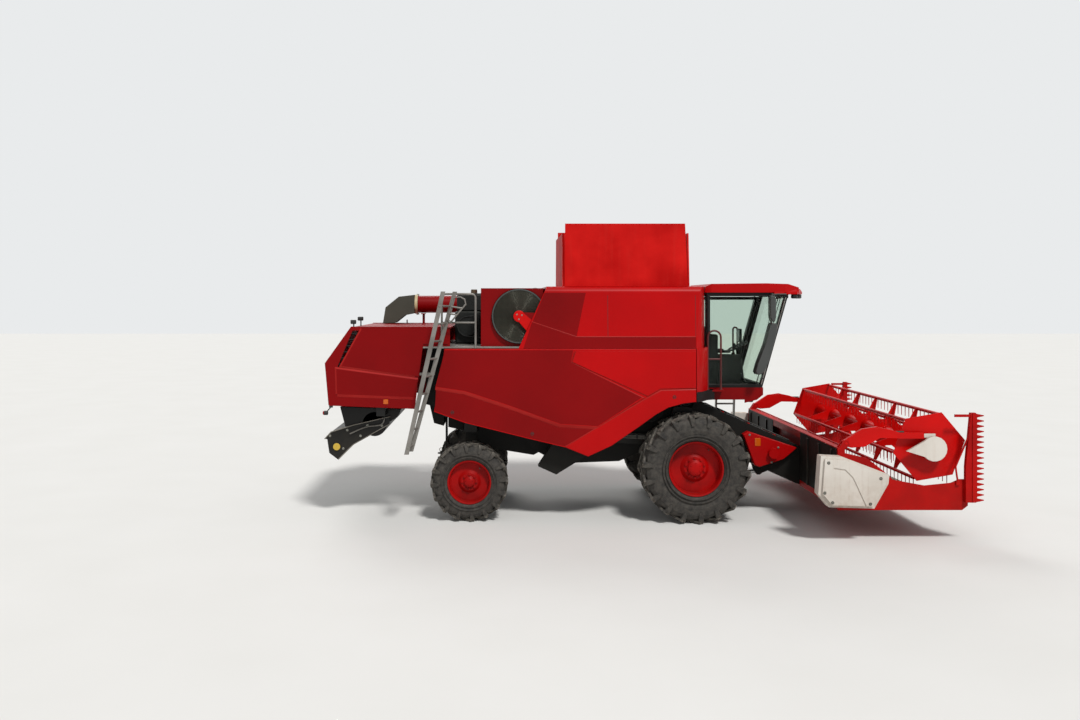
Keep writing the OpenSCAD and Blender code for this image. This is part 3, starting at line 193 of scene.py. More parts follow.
def pillow(low, high, power=0.22, n=24):
    """A block with full round edges, a superquadric: each cos and sin keeps its sign and is raised to a power."""
    low, high = np.array(low, float), np.array(high, float)
    v = np.linspace(-np.pi / 2, np.pi / 2, n // 2 + 1)[:, None]
    u = np.linspace(-np.pi, np.pi, n, endpoint=False)[None, :] + np.pi / n
    bent = lambda w: np.sign(w) * np.abs(w) ** power
    x, y, z = bent(np.cos(v)) * bent(np.cos(u)), bent(np.cos(v)) * bent(np.sin(u)), bent(np.sin(v)) + 0 * u
    return skin((low + high) / 2 + np.stack([x, y, z], -1) * (high - low) / 2)


def block(middle, half, round_off=0.003):
    """A slab about its middle."""
    return slab(np.array(middle) - half, np.array(middle) + half, round_off)


def middle_of(box, factors=(1, 1, 1)):
    """Middle of a box of two corners, each coordinate times a factor: 0 drops it and -1 turns it over."""
    return (box[0] + box[1]) / 2 * factors


def sheet_rows(rows):
    """Rows of (outline in XZ, y) as a grid of points."""
    return np.stack([np.column_stack([q[:, 0], np.full(len(q), y), q[:, 1]]) for q, y in rows])


def copies(part, places):
    """One part repeated at several places, as one part."""
    points, faces = part
    places = np.array(places, float).reshape(-1, 3)
    turns = range(len(places))
    return (places[:, None] + points).reshape(-1, 3), [[k * len(points) + v for v in f] for k in turns for f in faces]


def bolts(places, axis, wide=0.024, height=0.014):
    """Hexagon heads with a washer under each."""
    profile = [(wide * 0.85, -0.002), (wide * 0.85, 0.25 * height)]
    washer = lathe(profile, (0, 0, 0), axis, 12)
    head = lathe([(wide / 1.732, 0.2 * height), (wide / 1.732, 0.9 * height), (wide / 2.1, height)],
                 (0, 0, 0), axis, 6)
    return [copies(washer, places), copies(head, places)]


def hoop(inner, outer, half, centre, axis, sides=40):
    """A flat ring of a band: its inner and outer radius, and half its width along the axis."""
    return lathe([(inner, -half), (outer, -half), (outer, half), (inner, half)], centre, axis, sides, ring=True)


def ring_of(count, radius, centre, axis):
    """Points spread evenly on a circle about an axis."""
    u, v = across(axis)
    a = np.arange(count)[:, None] * 2 * np.pi / count
    return np.array(centre) + radius * (np.cos(a) * u + np.sin(a) * v)


def mirrored(part):
    """The same part on the other side of the machine."""
    points, faces = part
    return points * [1, -1, 1], [f[::-1] for f in faces]


def both(*parts):
    """Parts and their mirror images."""
    return [p for part in parts for p in (part, mirrored(part))]


def crease(line, high, low, width, side=1):
    """A three-cornered bar along a line of (x, z): it falls from a raised field at y = high to the sheet at y = low.

    Each corner is mitred: its foot lies on the line that is moved sideways by the width.
    """
    p = np.array(line, float)
    d = unit(np.diff(p, axis=0))
    n = side * np.column_stack([-d[:, 1], d[:, 0]])
    mean = unit(np.vstack([n[:1], n[:-1] + n[1:], n[-1:]]))
    foot = p + width * mean / np.sum(mean * np.vstack([n, n[-1:]]), axis=1, keepdims=True)
    rows = [(p, high), (foot, low), (p, low - 0.002 * np.sign(high - low))]
    return skin(sheet_rows(rows).swapaxes(0, 1))


def band(places, radii, axis_y, width, thick=0.012):
    """A belt round pulleys in the XZ plane: the hull of their circles, as a ring of four-cornered rows."""
    a = np.linspace(0, 2 * np.pi, 48, endpoint=False)
    p = np.vstack([np.array(c) + r * np.column_stack([np.cos(a), np.sin(a)]) for c, r in zip(places, radii)])
    ray = np.column_stack([np.cos(a), np.sin(a)])
    far = (p @ ray.T).argmax(axis=0)
    hull = p[far]
    keep = np.r_[True, np.linalg.norm(np.diff(hull, axis=0), axis=1) > 1e-6]
    hull, ray = hull[keep], ray[keep]
    y0, y1 = axis_y - width / 2, axis_y + width / 2
    rows = [(hull, y0), (hull + thick * ray, y0), (hull + thick * ray, y1), (hull, y1)]
    return skin(sheet_rows(rows).swapaxes(0, 1), ring=True)


def shell(outline, low, high, round_off=0.012):
    """A flat outline in XZ made thick along Y, its two faces drawn in towards its middle by the round of its edges."""
    flat = np.array(outline, float)
    mid = (flat.min(axis=0) + flat.max(axis=0)) / 2
    drawn = mid + (flat - mid) * (1 - round_off / (np.ptp(flat, axis=0) / 2))
    rows = ((drawn, low), (flat, low + round_off), (flat, high - round_off), (drawn, high))
    return skin(sheet_rows(rows))


def cushion(low, high, crown, channels, along):
    """A padded block: a superquadric whose faces crown by a cosine, less a narrow valley at each sewn channel."""
    points, faces = pillow(low, high, 0.42, 96)
    mid, half = (np.array(low) + high) / 2, (np.array(high) - low) / 2
    thin = int(np.argmin(half))
    t = (points - mid) / half
    dome = np.prod([np.cos(np.clip(t[:, k], -1, 1) * np.pi / 2) for k in range(3) if k != thin], axis=0)
    valley = sum(np.exp(-(((t[:, along] - c) * half[along]) / 0.012) ** 2) for c in channels)
    points[:, thin] += np.sign(t[:, thin]) * (crown * dome - 0.012 * valley * (np.abs(t[:, thin]) > 0.5))
    return points, faces


def piece(name, parts, material, body="machine", smooth=35):
    """Joins parts into one mesh object with a material, riding on a body."""
    points, faces, start = [], [], 0
    for p, f in parts:
        points.append(p)
        faces += [[start + k for k in g] for g in f]
        start += len(p)
    mesh = bpy.data.meshes.new(name)
    mesh.from_pydata((np.vstack(points) + AXLE).tolist(), [], faces)
    work = bmesh.new()
    work.from_mesh(mesh)
    bmesh.ops.remove_doubles(work, verts=work.verts, dist=1e-5)
    bmesh.ops.recalc_face_normals(work, faces=work.faces)
    work.to_mesh(mesh)
    work.free()
    mesh.shade_smooth()
    mesh.set_sharp_from_angle(angle=math.radians(smooth))
    obj = bpy.data.objects.new(name, mesh)
    bpy.context.scene.collection.objects.link(obj)
    mesh.materials.append(bpy.data.materials[material])
    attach(obj, body)
    return obj


# ------------------------------------------------------------- materials

# Radius that the Bevel node gives a painted edge, and how rough a full cover of dust is
EDGE_ROUND = 0.004
DUST_ROUGHNESS = 0.85


def linear(colour):
    """An sRGB hex colour as linear RGBA."""
    c = np.array([int(colour[k:k + 2], 16) for k in (0, 2, 4)]) / 255
    c = np.where(c <= 0.04045, c / 12.92, ((c + 0.055) / 1.055) ** 2.4)
    return (*c.tolist(), 1.0)


def hex_of(colour):
    """A colour property, kept linear, as the sRGB hex it was given as."""
    c = np.array(colour[:3])
    c = np.where(c <= 0.0031308, c * 12.92, 1.055 * c ** (1 / 2.4) - 0.055)
    return "".join(f"{round(float(v) * 255):02X}" for v in c)


def feed(tree, node, inputs):
    """Fills a node's inputs, each with a value or from the socket that feeds it."""
    for key, value in inputs.items():
        if isinstance(value, bpy.types.NodeSocket):
            tree.links.new(value, node.inputs[key])
        else:
            node.inputs[key].default_value = value


def add(tree, kind, inputs=None, **settings):
    """Adds one shader node with its settings and its inputs."""
    made = tree.nodes.new("ShaderNode" + kind)
    for key, value in settings.items():
        setattr(made, key, value)
    feed(tree, made, inputs or {})
    return made


def noise(tree, place, scale, detail, roughness=0.5):
    """Cloudy noise over a place."""
    inputs = {"Vector": place, "Scale": scale, "Detail": detail, "Roughness": roughness}
    return add(tree, "TexNoise", inputs).outputs[0]


def ramp(tree, value, start, end, low=0.0, high=1.0):
    """A value that runs from start to end, drawn out to run from low to high and held there beyond."""
    inputs = {"Value": value, "From Min": start, "From Max": end, "To Min": low, "To Max": high}
    return add(tree, "MapRange", inputs).outputs[0]


def maths(tree, operation, *values, clamp=False):
    """One sum, product or function of values."""
    return add(tree, "Math", dict(enumerate(values)), operation=operation, use_clamp=clamp).outputs[0]


def blended(tree, share, *colours):
    """Two colours, each a hex or a socket, mixed by the share of the second."""
    ends = {6 + k: linear(c) if isinstance(c, str) else c for k, c in enumerate(colours)}
    return add(tree, "Mix", {0: share, **ends}, data_type="RGBA").outputs[2]


def relief(tree, height, strength, distance, edge=None):
    """A bump from a height, over edges that a Bevel node rounds where an edge is given."""
    inputs = {"Height": height, "Strength": strength, "Distance": distance}
    if edge:
        inputs["Normal"] = add(tree, "Bevel", {"Radius": edge}, samples=4).outputs[0]
    return add(tree, "Bump", inputs).outputs[0]


def distance_from(tree, place, centre):
    """Distance from a line along Y through a centre."""
    inputs = {"Vector": place, "Location": (-centre[0], 0.0, -centre[2]), "Scale": (1.0, 0.0, 1.0)}
    flat = add(tree, "Mapping", inputs).outputs[0]
    return add(tree, "VectorMath", {0: flat}, operation="LENGTH").outputs["Value"]


def rings(tree, distance, pitch):
    """Fine rings: a sine of the distance from an axle."""
    return maths(tree, "SINE", maths(tree, "MULTIPLY", distance, 2 * math.pi / pitch))


def new_material(name):
    """An empty material: its tree, its Principled shader and the object's coordinates."""
    made = bpy.data.materials.new(name)
    made.use_nodes = True
    tree = made.node_tree
    tree.nodes.clear()
    shader = add(tree, "BsdfPrincipled")
    add(tree, "OutputMaterial", {"Surface": shader.outputs[0]})
    return tree, shader, add(tree, "TexCoord").outputs["Object"]


def finish(name, colour, second, dust, roughness, dust_share=0.5, metal=0.0, grain=9.0, bump=0.02, fine=400.0,
           reach=1.9, level=0.5, runs=0.0):
    """A surface with slow colour changes, dust on what faces up and low down, and a fine bump.

    Dust share = noise x (facing up + nearness to the ground + runs that are long upright streaks);
    roughness rises with it.
    """
    tree, shader, place = new_material(name)
    base = blended(tree, ramp(tree, noise(tree, place, grain / 10, 5.0), 0.35, 0.65), colour, second)
    normal = add(tree, "SeparateXYZ", {0: add(tree, "NewGeometry").outputs["Normal"]})
    facing = ramp(tree, normal.outputs["Z"], 0.3, 0.95, high=0.8)
    low = ramp(tree, add(tree, "SeparateXYZ", {0: place}).outputs["Z"], reach, 0.1, high=0.75)
    drawn = add(tree, "Mapping", {"Vector": place, "Scale": (14.0, 14.0, 0.9)}).outputs[0]
    streaks = ramp(tree, noise(tree, drawn, 1.0, 4.0), 0.52, 0.75, high=runs)
    broken = ramp(tree, noise(tree, place, grain, 8.0, 0.65), 0.36, 0.64, low=0.25)
    cover = maths(tree, "MULTIPLY", maths(tree, "ADD", maths(tree, "ADD", facing, low), streaks), broken)
    share = maths(tree, "MULTIPLY", cover, dust_share, clamp=True)
    feed(tree, shader, {"Base Color": blended(tree, share, base, dust),
                        "Roughness": ramp(tree, share, 0.0, 1.0, roughness, DUST_ROUGHNESS),
                        "Normal": relief(tree, noise(tree, place, fine, 2.0), bump, 0.002, EDGE_ROUND),
                        "Metallic": metal, "Specular IOR Level": level})


def tyre_finish(name, box):
    """Grey-black rubber with pale field dust on the lugs' tops, and the grooves between them left darker, which is
    painted shade.

    Share = ramp over the distance from the axle x clods; the side walls carry fine rings.
    """
    tree, shader, place = new_material(name)
    radius = (box[1][2] - box[0][2]) / 2
    far = distance_from(tree, place, middle_of(box) + AXLE)
    # Pale dust falls off towards the carcass, so the grooves stay darker: painted shade
    groove = ramp(tree, far, radius - 1.5 * LUG_HEIGHT, radius - 0.15 * LUG_HEIGHT, 0.3)
    clods = noise(tree, place, 11.0, 9.0, 0.7)
    share = maths(tree, "MULTIPLY", groove, ramp(tree, clods, 0.34, 0.66))
    mixed = maths(tree, "MULTIPLY_ADD", rings(tree, far, 0.022), 0.3, clods)
    feed(tree, shader, {
        "Base Color": blended(tree, share, "282624", "766F65"), "Roughness": 0.8, "Specular IOR Level": 0.35,
        "Normal": relief(tree, mixed, 0.35, 0.006, 0.008)})


def screen_finish(name, pitch):
    """Perforated steel sheet, olive with dust: a square grid of dark holes over fine turned rings.

    The rings are a sine of the distance from the screen's shaft, as a coarse stand-in for rolled sheet.
    """
    tree, shader, place = new_material(name)
    face = add(tree, "Mapping", {"Vector": place, "Rotation": (math.pi / 2, 0.0, 0.0)}).outputs[0]
    holes = add(tree, "TexVoronoi", {"Vector": face, "Scale": 1 / pitch, "Randomness": 0.0}, voronoi_dimensions="2D")
    sheet = blended(tree, noise(tree, place, 5.0, 6.0), "3A3A32", "4A493E")
    turned = rings(tree, distance_from(tree, place, middle_of(corners("dust_screen")) + AXLE), 0.012)
    feed(tree, shader, {
        "Base Color": blended(tree, ramp(tree, holes.outputs["Distance"], 0.22, 0.4), "121210", sheet),
        "Normal": relief(tree, turned, 0.8, 0.003), "Roughness": 0.32, "Metallic": 0.75})


def clear_finish(name, colour, roughness, depth=1.0, thin=False):
    """Glass or a lamp's moulded lens: light passes, with a smudge of dust in the gloss."""
    tree, shader, place = new_material(name)
    smudge = ramp(tree, noise(tree, place, 6.0, 5.0), 0.45, 0.75, roughness, roughness + 0.08)
    feed(tree, shader, {"Roughness": smudge, "Base Color": linear(colour), "Transmission Weight": depth,
                        "IOR": 1.1 if thin else 1.45})


def make_materials(paint):
    """Every finish on the machine, each named for what it is."""
    red, deep, dust = (hex_of(getattr(paint, k)) for k in ("enamel", "deep_enamel", "dust"))
    # Sprayed two-pack enamel: gloss under a film of field dust, with the faintest orange peel
    finish("sprayed_red_enamel", red, deep, "7E2A1C", 0.36, 0.1, grain=5, level=0.13, runs=0.1)
    # Darker red than the panels' on the hood, cooler housing, cab base, unloading tube and the panels' rear fields:
    # painted shade
    finish("painted_shade_red_enamel", "860205", "740103", "6A2A1C", 0.4, 0.1, grain=5, level=0.12, runs=0.1)
    # Folds pressed into the panels: a pinker red that is a painted highlight along them, under field dust
    finish("fold_highlight_and_dust_enamel", "A41E1A", "941412", "8A3A2C", 0.4, 0.15, grain=12, level=0.14)
    # The same enamel on the tank's flaps, chalked by sun and grain dust
    finish("chalked_red_enamel", "D01814", "B00806", "D0463A", 0.55, 0.35, grain=13, level=0.08, runs=0.35)
    # Enamel where crop rubs: scuffed and browner in the trough
    finish("rubbed_red_enamel", "B80604", "960403", "7A2A18", 0.42, 0.2, grain=14, level=0.14)
    # Hard baked enamel of the reel, bright where the wind keeps it clean
    finish("baked_red_enamel", "CC0604", "B00402", "8E2A18", 0.36, 0.12, grain=9, level=0.16)
    # Wheel enamel, stone-chipped and bright inside the dish
    finish("wheel_red_enamel", "AC0404", "7C0202", "4A2218", 0.44, 0.25, grain=16, reach=1.0, level=0.14)
    # Dark red of rails that hands have worn down to primer
    finish("worn_rail_enamel", "5E1412", "47100F", "6E4A3A", 0.45, 0.4, grain=22)
    # Chassis enamel: satin black that dust turns brown-grey
    finish("satin_black_enamel", "0E0E0D", "141413", dust, 0.45, 0.4, grain=7, level=0.25)
    # Dull sheet steel of the housings, dark with oil and chaff
    finish("oily_dark_sheet", "0C0B09", "11100D", "2E2A20", 0.6, 0.35, grain=7, level=0.2)
    # Light grey powder coat on ladders and decks, with a fine grain
    finish("grey_powder_coat", "9C9A92", "8C8A82", "A89A7C", 0.5, 0.55, grain=9, bump=0.08, fine=600)
    # Galvanised steel of the rear ladder and deck rail: grey with a dull bloom
    finish("galvanised_steel", "8C8882", "6C6862", "565042", 0.5, 0.5, metal=0.3, grain=24, bump=0.06, fine=300)
    # Grey cast iron: coarse skin from the sand mould
    finish("cast_iron", "1C1E1C", "141614", "38342A", 0.55, 0.4, metal=0.2, bump=0.25, fine=180, level=0.3)
    # Worn tool steel of knives and fingers: bright where crop polishes it
    finish("worn_knife_steel", "98948C", "6A665E", "7A5A3C", 0.34, 0.5, metal=0.9, grain=20)
    # Moulded black plastic with a leather-like grain
    finish("moulded_black_plastic", "161616", "1C1C1B", "5F5848", 0.5, 0.4, bump=0.15, fine=500)
    # Moulded grey plastic of the mirror shells, the console's keys and the dust screen's rim
    finish("moulded_grey_plastic", "3E403E", "323432", "6A6454", 0.42, 0.4, bump=0.08, fine=500)
    # Rotomoulded off-white shields: waxy, with soil thrown up at the foot
    finish("moulded_white_plastic", "DAD3C9", "CBC3B8", "8E6A4A", 0.4, 0.8, grain=11, bump=0.04, reach=1.15, runs=0.35)
    # Vulcanised rubber of the spout, olive with dust
    finish("vulcanised_rubber", "35352A", "46453A", "77705A", 0.62, 0.5, bump=0.12, fine=160)
    # Cream enamel of the clamp ring on the spout
    finish("cream_enamel", "C9B98E", "B5A67E", "8A7A5C", 0.45, 0.4, grain=16)
    # Rotomoulded fuel tank
    finish("rotomoulded_black", "141414", "1A1A1A", "5F5848", 0.55, 0.5, bump=0.1, fine=250)
    # Hard chrome on the cylinder rods
    finish("hard_chrome", "C8C8C8", "BDBDBD", "8A7A60", 0.12, 0.25, metal=1.0, bump=0.0)
    # Zinc-plated bolts, dulled
    finish("zinc_plate", "8F8E86", "7D7C74", "7A6E58", 0.4, 0.4, metal=0.8)
    # Yellow enamel on guards and hubs
    finish("yellow_enamel", "CFAE3C", "BF9A2E", "8A7648", 0.4, 0.4)
    # Seals and hoses of black rubber
    finish("black_hose_rubber", "141413", "1B1B1A", "5A5242", 0.6, 0.5, bump=0.05)
    # Woven seat cloth, drawn with a 6 mm check because threads are too fine to show
    finish("woven_seat_cloth", "2A2B2E", "1F2022", "5A5244", 0.9, 0.2, grain=30, bump=0.5, fine=170)
    # Polished and heat-blued sheet of the exhaust
    finish("heat_blued_steel", "4C4640", "5A4A3A", "5A5142", 0.4, 0.4, metal=0.8, grain=12)
    # Screen of the monitor
    finish("dark_display_glass", "0C1014", "10161A", "5A5244", 0.08, 0.1)
    # Silvered glass of the mirrors
    finish("silvered_glass", "D8DCDC", "CFD4D4", "9A8E78", 0.04, 0.2, metal=1.0, bump=0.0)
    tyre_finish("soiled_tyre_rubber_front", FRONT_TYRE)
    tyre_finish("soiled_tyre_rubber_rear", REAR_TYRE)
    # Holes of 3 mm are too fine to show, so they are drawn at 20 mm pitch
    screen_finish("perforated_sheet", 0.02)
    clear_finish("tinted_safety_glass", "DDE8E0", 0.01, thin=True)
    clear_finish("clear_lamp_lens", "E6ECEC", 0.05, 0.8)
    clear_finish("amber_lens", "E86A08", 0.12, 0.35)
    clear_finish("red_lens", "B00A0A", 0.12, 0.35)


FINISH_OF_SLOT = {
    "body_paint": "sprayed_red_enamel", "dark_red_paint": "painted_shade_red_enamel", "rim_paint": "wheel_red_enamel",
    "black_paint": "satin_black_enamel", "housing_sheet": "oily_dark_sheet", "grey_paint": "grey_powder_coat",
    "screen_mesh": "perforated_sheet", "engine_block": "cast_iron", "tyre_rubber": "soiled_tyre_rubber_front",
    "cab_glazing": "tinted_safety_glass", "cab_trim": "moulded_black_plastic", "lamp_body": "moulded_grey_plastic",
    "white_shield": "moulded_white_plastic", "knife_steel": "worn_knife_steel", "spout_rubber": "vulcanised_rubber",
    "fuel_plastic": "rotomoulded_black", "rod_chrome": "hard_chrome", "seat_cloth": "woven_seat_cloth",
}
# Finishes of CAD nodes that differ from their slot's
FINISH_OF_NODE = {node: name for name, nodes in (
    ("soiled_tyre_rubber_rear", ("rear_tyre_right", "rear_tyre_left")),
    ("chalked_red_enamel", ("tank_flap_right", "tank_flap_left", "tank_flap_front", "tank_flap_rear")),
    ("rubbed_red_enamel", ("header_table", "intake_auger", "side_knives")),
    ("baked_red_enamel", ("reel_arms", "reel", "reel_tines")),
    # The darker red on these nodes is painted shade
    ("painted_shade_red_enamel", ("rear_hood", "cooler_housing", "cab_base", "unloading_tube")),
    ("worn_rail_enamel", ("handrails",)),
    ("galvanised_steel", ("rear_ladder", "engine_deck")),
    ("moulded_grey_plastic", ("mirrors",)),
) for node in nodes}
# The slot that a piece of each finish names: the finish's own, or the one nearest to it
SLOT_OF_FINISH = {name: slot for slot, name in FINISH_OF_SLOT.items()}
SLOT_OF_FINISH.update({name: slot for slot, names in (
    ("body_paint", ("baked_red_enamel", "chalked_red_enamel", "fold_highlight_and_dust_enamel", "rubbed_red_enamel")),
    ("black_paint", ("worn_rail_enamel",)),
    ("cab_trim", ("black_hose_rubber", "dark_display_glass", "moulded_grey_plastic", "silvered_glass")),
    ("grey_paint", ("galvanised_steel",)),
    ("housing_sheet", ("heat_blued_steel",)),
    ("knife_steel", ("zinc_plate",)),
    ("lamp_body", ("amber_lens", "clear_lamp_lens", "red_lens")),
    ("tyre_rubber", ("soiled_tyre_rubber_rear",)),
    ("white_shield", ("cream_enamel", "yellow_enamel")),
) for name in names})


# ---------------------------------------------------------------- pieces

class HARVESTER_OT_rear_ladder(bpy.types.Operator):
    """Makes the ladder to the engine deck: rails that draw together, round rungs and the folded step."""
    bl_idname = "harvester.rear_ladder"
    bl_label = "Rear ladder"

    def execute(self, context):
        foot, top = 1.21, 3.9
        rails = ((-1.89, -4.836, -4.232), (-1.56, -4.793, -4.054))

        def rail_x(rail, z):
            return rail[1] + (rail[2] - rail[1]) * (z - foot) / (top - foot)
        parts = [extruded([(rail[1] - 0.037, foot), (rail[1] + 0.037, foot), (rail[2] + 0.037, top),
                           (rail[2] - 0.037, top)], rail[0], rail[0] + 0.03) for rail in rails]
        parts += [rod((rail_x(rails[0], z), -1.875, z), (rail_x(rails[1], z), -1.545, z), 0.017, 16)
                  for z in foot + 0.11 + 0.292 * np.arange(9)]
        parts += [slab((-4.65, -1.559, 2.49), (-4.4, -1.4, 2.53)),
                  slab((-4.33, -1.559, 2.94), (-4.24, -1.47, 2.97))]
        step = [(-4.18, 3.42), (-4.11, 3.4), (-3.87, 3.69), (-3.89, 3.77), (-3.96, 3.81), (-4.08, 3.8), (-4.18, 3.42)]
        parts.append(tube([(x, -1.57, z) for x, z in step], 0.014, 10))
        parts += [rod((-4.15, -1.57, 3.53), (-4.02, -1.57, 3.51), 0.014, 10),
                  rod((-4.12, -1.57, 3.65), (-3.93, -1.57, 3.62), 0.014, 10)]
        ladder = piece("ladder_to_deck", parts, "galvanised_steel")
        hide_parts("rear_ladder")
        heads = [(rail_x(rails[k], z), y, z) for k, y, z in
                 ((1, -1.525, 2.51), (1, -1.525, 2.955), (0, -1.894, 1.32), (0, -1.894, 3.66))]
        piece("ladder_bolts", bolts(heads, RIGHT, 0.024, 0.004), "zinc_plate")
        return {"FINISHED"}


class HARVESTER_OT_deck(bpy.types.Operator):
    """Makes the engine deck, its rail, the unloading tube's rests and the sieve box under the body."""
    bl_idname = "harvester.deck"
    bl_label = "Deck and sieve box"

    def execute(self, context):
        y = POSTS_Y
        rear, front = POSTS_X
        rail = [(rear, y, 2.96), (rear, y, 3.8), (rear + 0.015, y, 3.845), (rear + 0.06, y, 3.861),
                (front - 0.061, y, 3.861), (front - 0.016, y, 3.845), (front, y, 3.8), (front, y, 2.96)]
        parts = [slab((-4.6, -1.448, 2.94), (-2.215, 1.448, 2.97), 0.003), tube(rail, 0.018, 16),
                 rod((rear, y, 3.376), (front, y, 3.376), 0.016, 16)]
        parts += [slab((x - 0.02, -1.495, 2.94), (x + 0.02, -1.44, 2.97)) for x in POSTS_X]
        deck = piece("deck_and_rail", parts, "galvanised_steel")
        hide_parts("engine_deck")
        rests = [rod((-4.824, TUBE_Y, 3.275), (-4.824, TUBE_Y, 3.485), 0.025, 16),
                 rod((-5.154, TUBE_Y, 3.275), (-5.154, TUBE_Y, 3.37), 0.012, 12),
                 slab((-4.87, 1.245, 3.479), (-4.78, 1.4, 3.497))]
        piece("tube_rests", rests, "painted_shade_red_enamel")
        sieve = [extruded(line, -0.54, 0.54) for line in
                 ([(-2.5, 1.1), (-2.7, 0.99), (-3.69, 1.15), (-3.69, 1.69), (-2.9, 1.5)],
                  [(-3.95, 1.73), (-3.95, 1.43), (-4.225, 1.49), (-4.225, 1.81)],
                  [(-4.305, 1.87), (-4.305, 1.51), (-4.48, 1.56), (-4.56, 1.9)])]
        piece("sieve_box", sieve, "oily_dark_sheet")
        return {"FINISHED"}


class HARVESTER_OT_tail(bpy.types.Operator):
    """Makes the straw chopper with its rotor housing, tail board and guide vanes."""
    bl_idname = "harvester.tail"
    bl_label = "Chopper and tail board"

    def execute(self, context):
        case = [(-5.02, 1.855), (-6.08, 1.9), (-5.99, 1.56), (-5.7, 1.59), (-5.64, 1.64), (-5.22, 1.64), (-5.08, 1.72)]
        board = [(-6.33, 1.345), (-6.244, 1.456), (-5.859, 1.575), (-5.64, 1.64), (-5.64, 1.6), (-5.855, 1.53),
                 (-6.226, 1.425), (-6.3, 1.335)]
        vane = [(-6.302, 1.338), (-6.228, 1.428), (-5.855, 1.534), (-5.8, 1.5), (-5.87, 1.3),
                (-6.116, 1.01), (-6.24, 1.12)]
        cheek = [(-6.3, 1.35), (-6.244, 1.47), (-5.859, 1.59), (-5.216, 1.74), (-5.216, 1.6), (-5.841, 1.247),
                 (-6.116, 0.992), (-6.262, 1.103)]
        parts = [extruded(case, -1.0, 1.0), rod((-5.48, -1.0, 1.6), (-5.48, 1.0, 1.6), 0.21, 40),
                 extruded(board, -1.0, 1.0)]
        parts += [extruded(vane, 0.2 * k - 0.004, 0.2 * k + 0.004) for k in range(-4, 5)]
        parts += both(extruded(cheek, 1.0, 1.03), rod((-6.131, 1.028, 1.214), (-6.131, 1.05, 1.214), 0.068, 32),
                      slab((-5.4, 1.0, 1.78), (-5.25, 1.37, 2.0)))
        made = piece("chopper_and_tail_board", parts, "satin_black_enamel")
        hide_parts("straw_chopper")
        return {"FINISHED"}


class HARVESTER_OT_engine_block(bpy.types.Operator):
    """Makes the engine with its head, the enclosure behind it, fan shaft and pulley, muffler and stack."""
    bl_idname = "harvester.engine_block"
    bl_label = "Engine"

    def execute(self, context):
        # Engine, its head, the enclosure and its lid, and the outlet on the enclosure's left face
        parts = [slab(*row) for row in (
            ((-3.5, -0.42, 2.97), (-2.42, 0.56, 3.62), 0.03), ((-3.4, -0.26, 3.6), (-2.5, 0.4, 3.78), 0.02),
            ((-4.11, -0.48, 2.97), (-3.64, 0.52, 3.56), 0.03), ((-4.08, -0.42, 3.54), (-3.56, 0.46, 3.88), 0.04),
            ((-3.85, 0.515, 3.09), (-3.75, 0.6, 3.19)))]
        x, _, z = middle_of(corners("dust_screen"))
        groove = [(0.02, 0), (0.17, 0), (0.178, 0.01), (0.155, 0.022), (0.155, 0.038), (0.178, 0.05),
                  (0.17, 0.06), (0.02, 0.06)]
        parts += [rod((x, -0.83, z), (x, -0.4, z), 0.05, 20), lathe(groove, (-3.88, -0.48, 3.29), RIGHT, 44)]
        block = piece("engine_and_enclosure", parts, "cast_iron")
        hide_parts("engine")
        can = lathe([(0.05, -0.34), (0.085, -0.33), (0.095, -0.31), (0.095, 0.31), (0.085, 0.33), (0.05, 0.34)],
                    (-3.25, 0.08, 3.86), LEFT, 40)
        stack = lathe([(0.062, 3.1), (0.062, 3.93), (0.056, 3.96), (0.05, 3.93), (0.05, 3.8)],
                      (-3.8, 0.6, 0.0), UP, 32)
        piece("muffler_and_stack", [can, stack], "heat_blued_steel")
        return {"FINISHED"}


class HARVESTER_OT_front_corners(bpy.types.Operator):
    """Adds the corner panels between body and cab, the right fender and the roof's visor."""
    bl_idname = "harvester.front_corners"
    bl_label = "Corners and visor"

    def execute(self, context):
        plan = [(0.03, SHEET_Y), (0.13, 1.398), (0.278, 1.128), (0.318, 1.008), (0.318, 0.87), (0.288, 0.87),
                (0.288, 1.0), (0.25, 1.118), (0.105, 1.378), (0.03, 1.444)]
        piece("corner_panels", both(extruded(plan, 2.201, 2.94, 2)), "sprayed_red_enamel")
        fender = [(0.03, -1.488), (0.13, -1.398), (0.278, -1.128), (0.43, -1.02), (0.43, -0.84), (0.03, -0.84)]
        piece("right_fender", [extruded(fender, 2.03, 2.2, 2)], "satin_black_enamel")
        edge = np.array([(1.5, -0.911), (1.66, -0.911), (1.92, -0.86), (2.07, -0.62), (2.13, -0.35), (2.13, 0.35),
                         (2.07, 0.62), (1.92, 0.86), (1.66, 0.911), (1.5, 0.911)])
        rows = [(1.0, 3.86), (1.006, 3.868), (1.006, 3.9), (0.96, 3.955)]
        x, y = edge.T
        grid = [np.column_stack([1.5 + (x - 1.5) * s, y * min(s, 1.0), np.full(len(edge), z)]) for s, z in rows]
        piece("roof_visor", [skin(np.array(grid))], "sprayed_red_enamel")
        return {"FINISHED"}


def on_body_side(part):
    """A part moved inwards with height, as the upper body's sides lean: y falls from their foot to the shoulder."""
    points, faces = part
    low, high = corners("upper_body")
    rise = (points[:, 2:] - low[2]) / (high[2] - SHOULDER - low[2])
    return points - rise * [0, LEAN, 0], faces


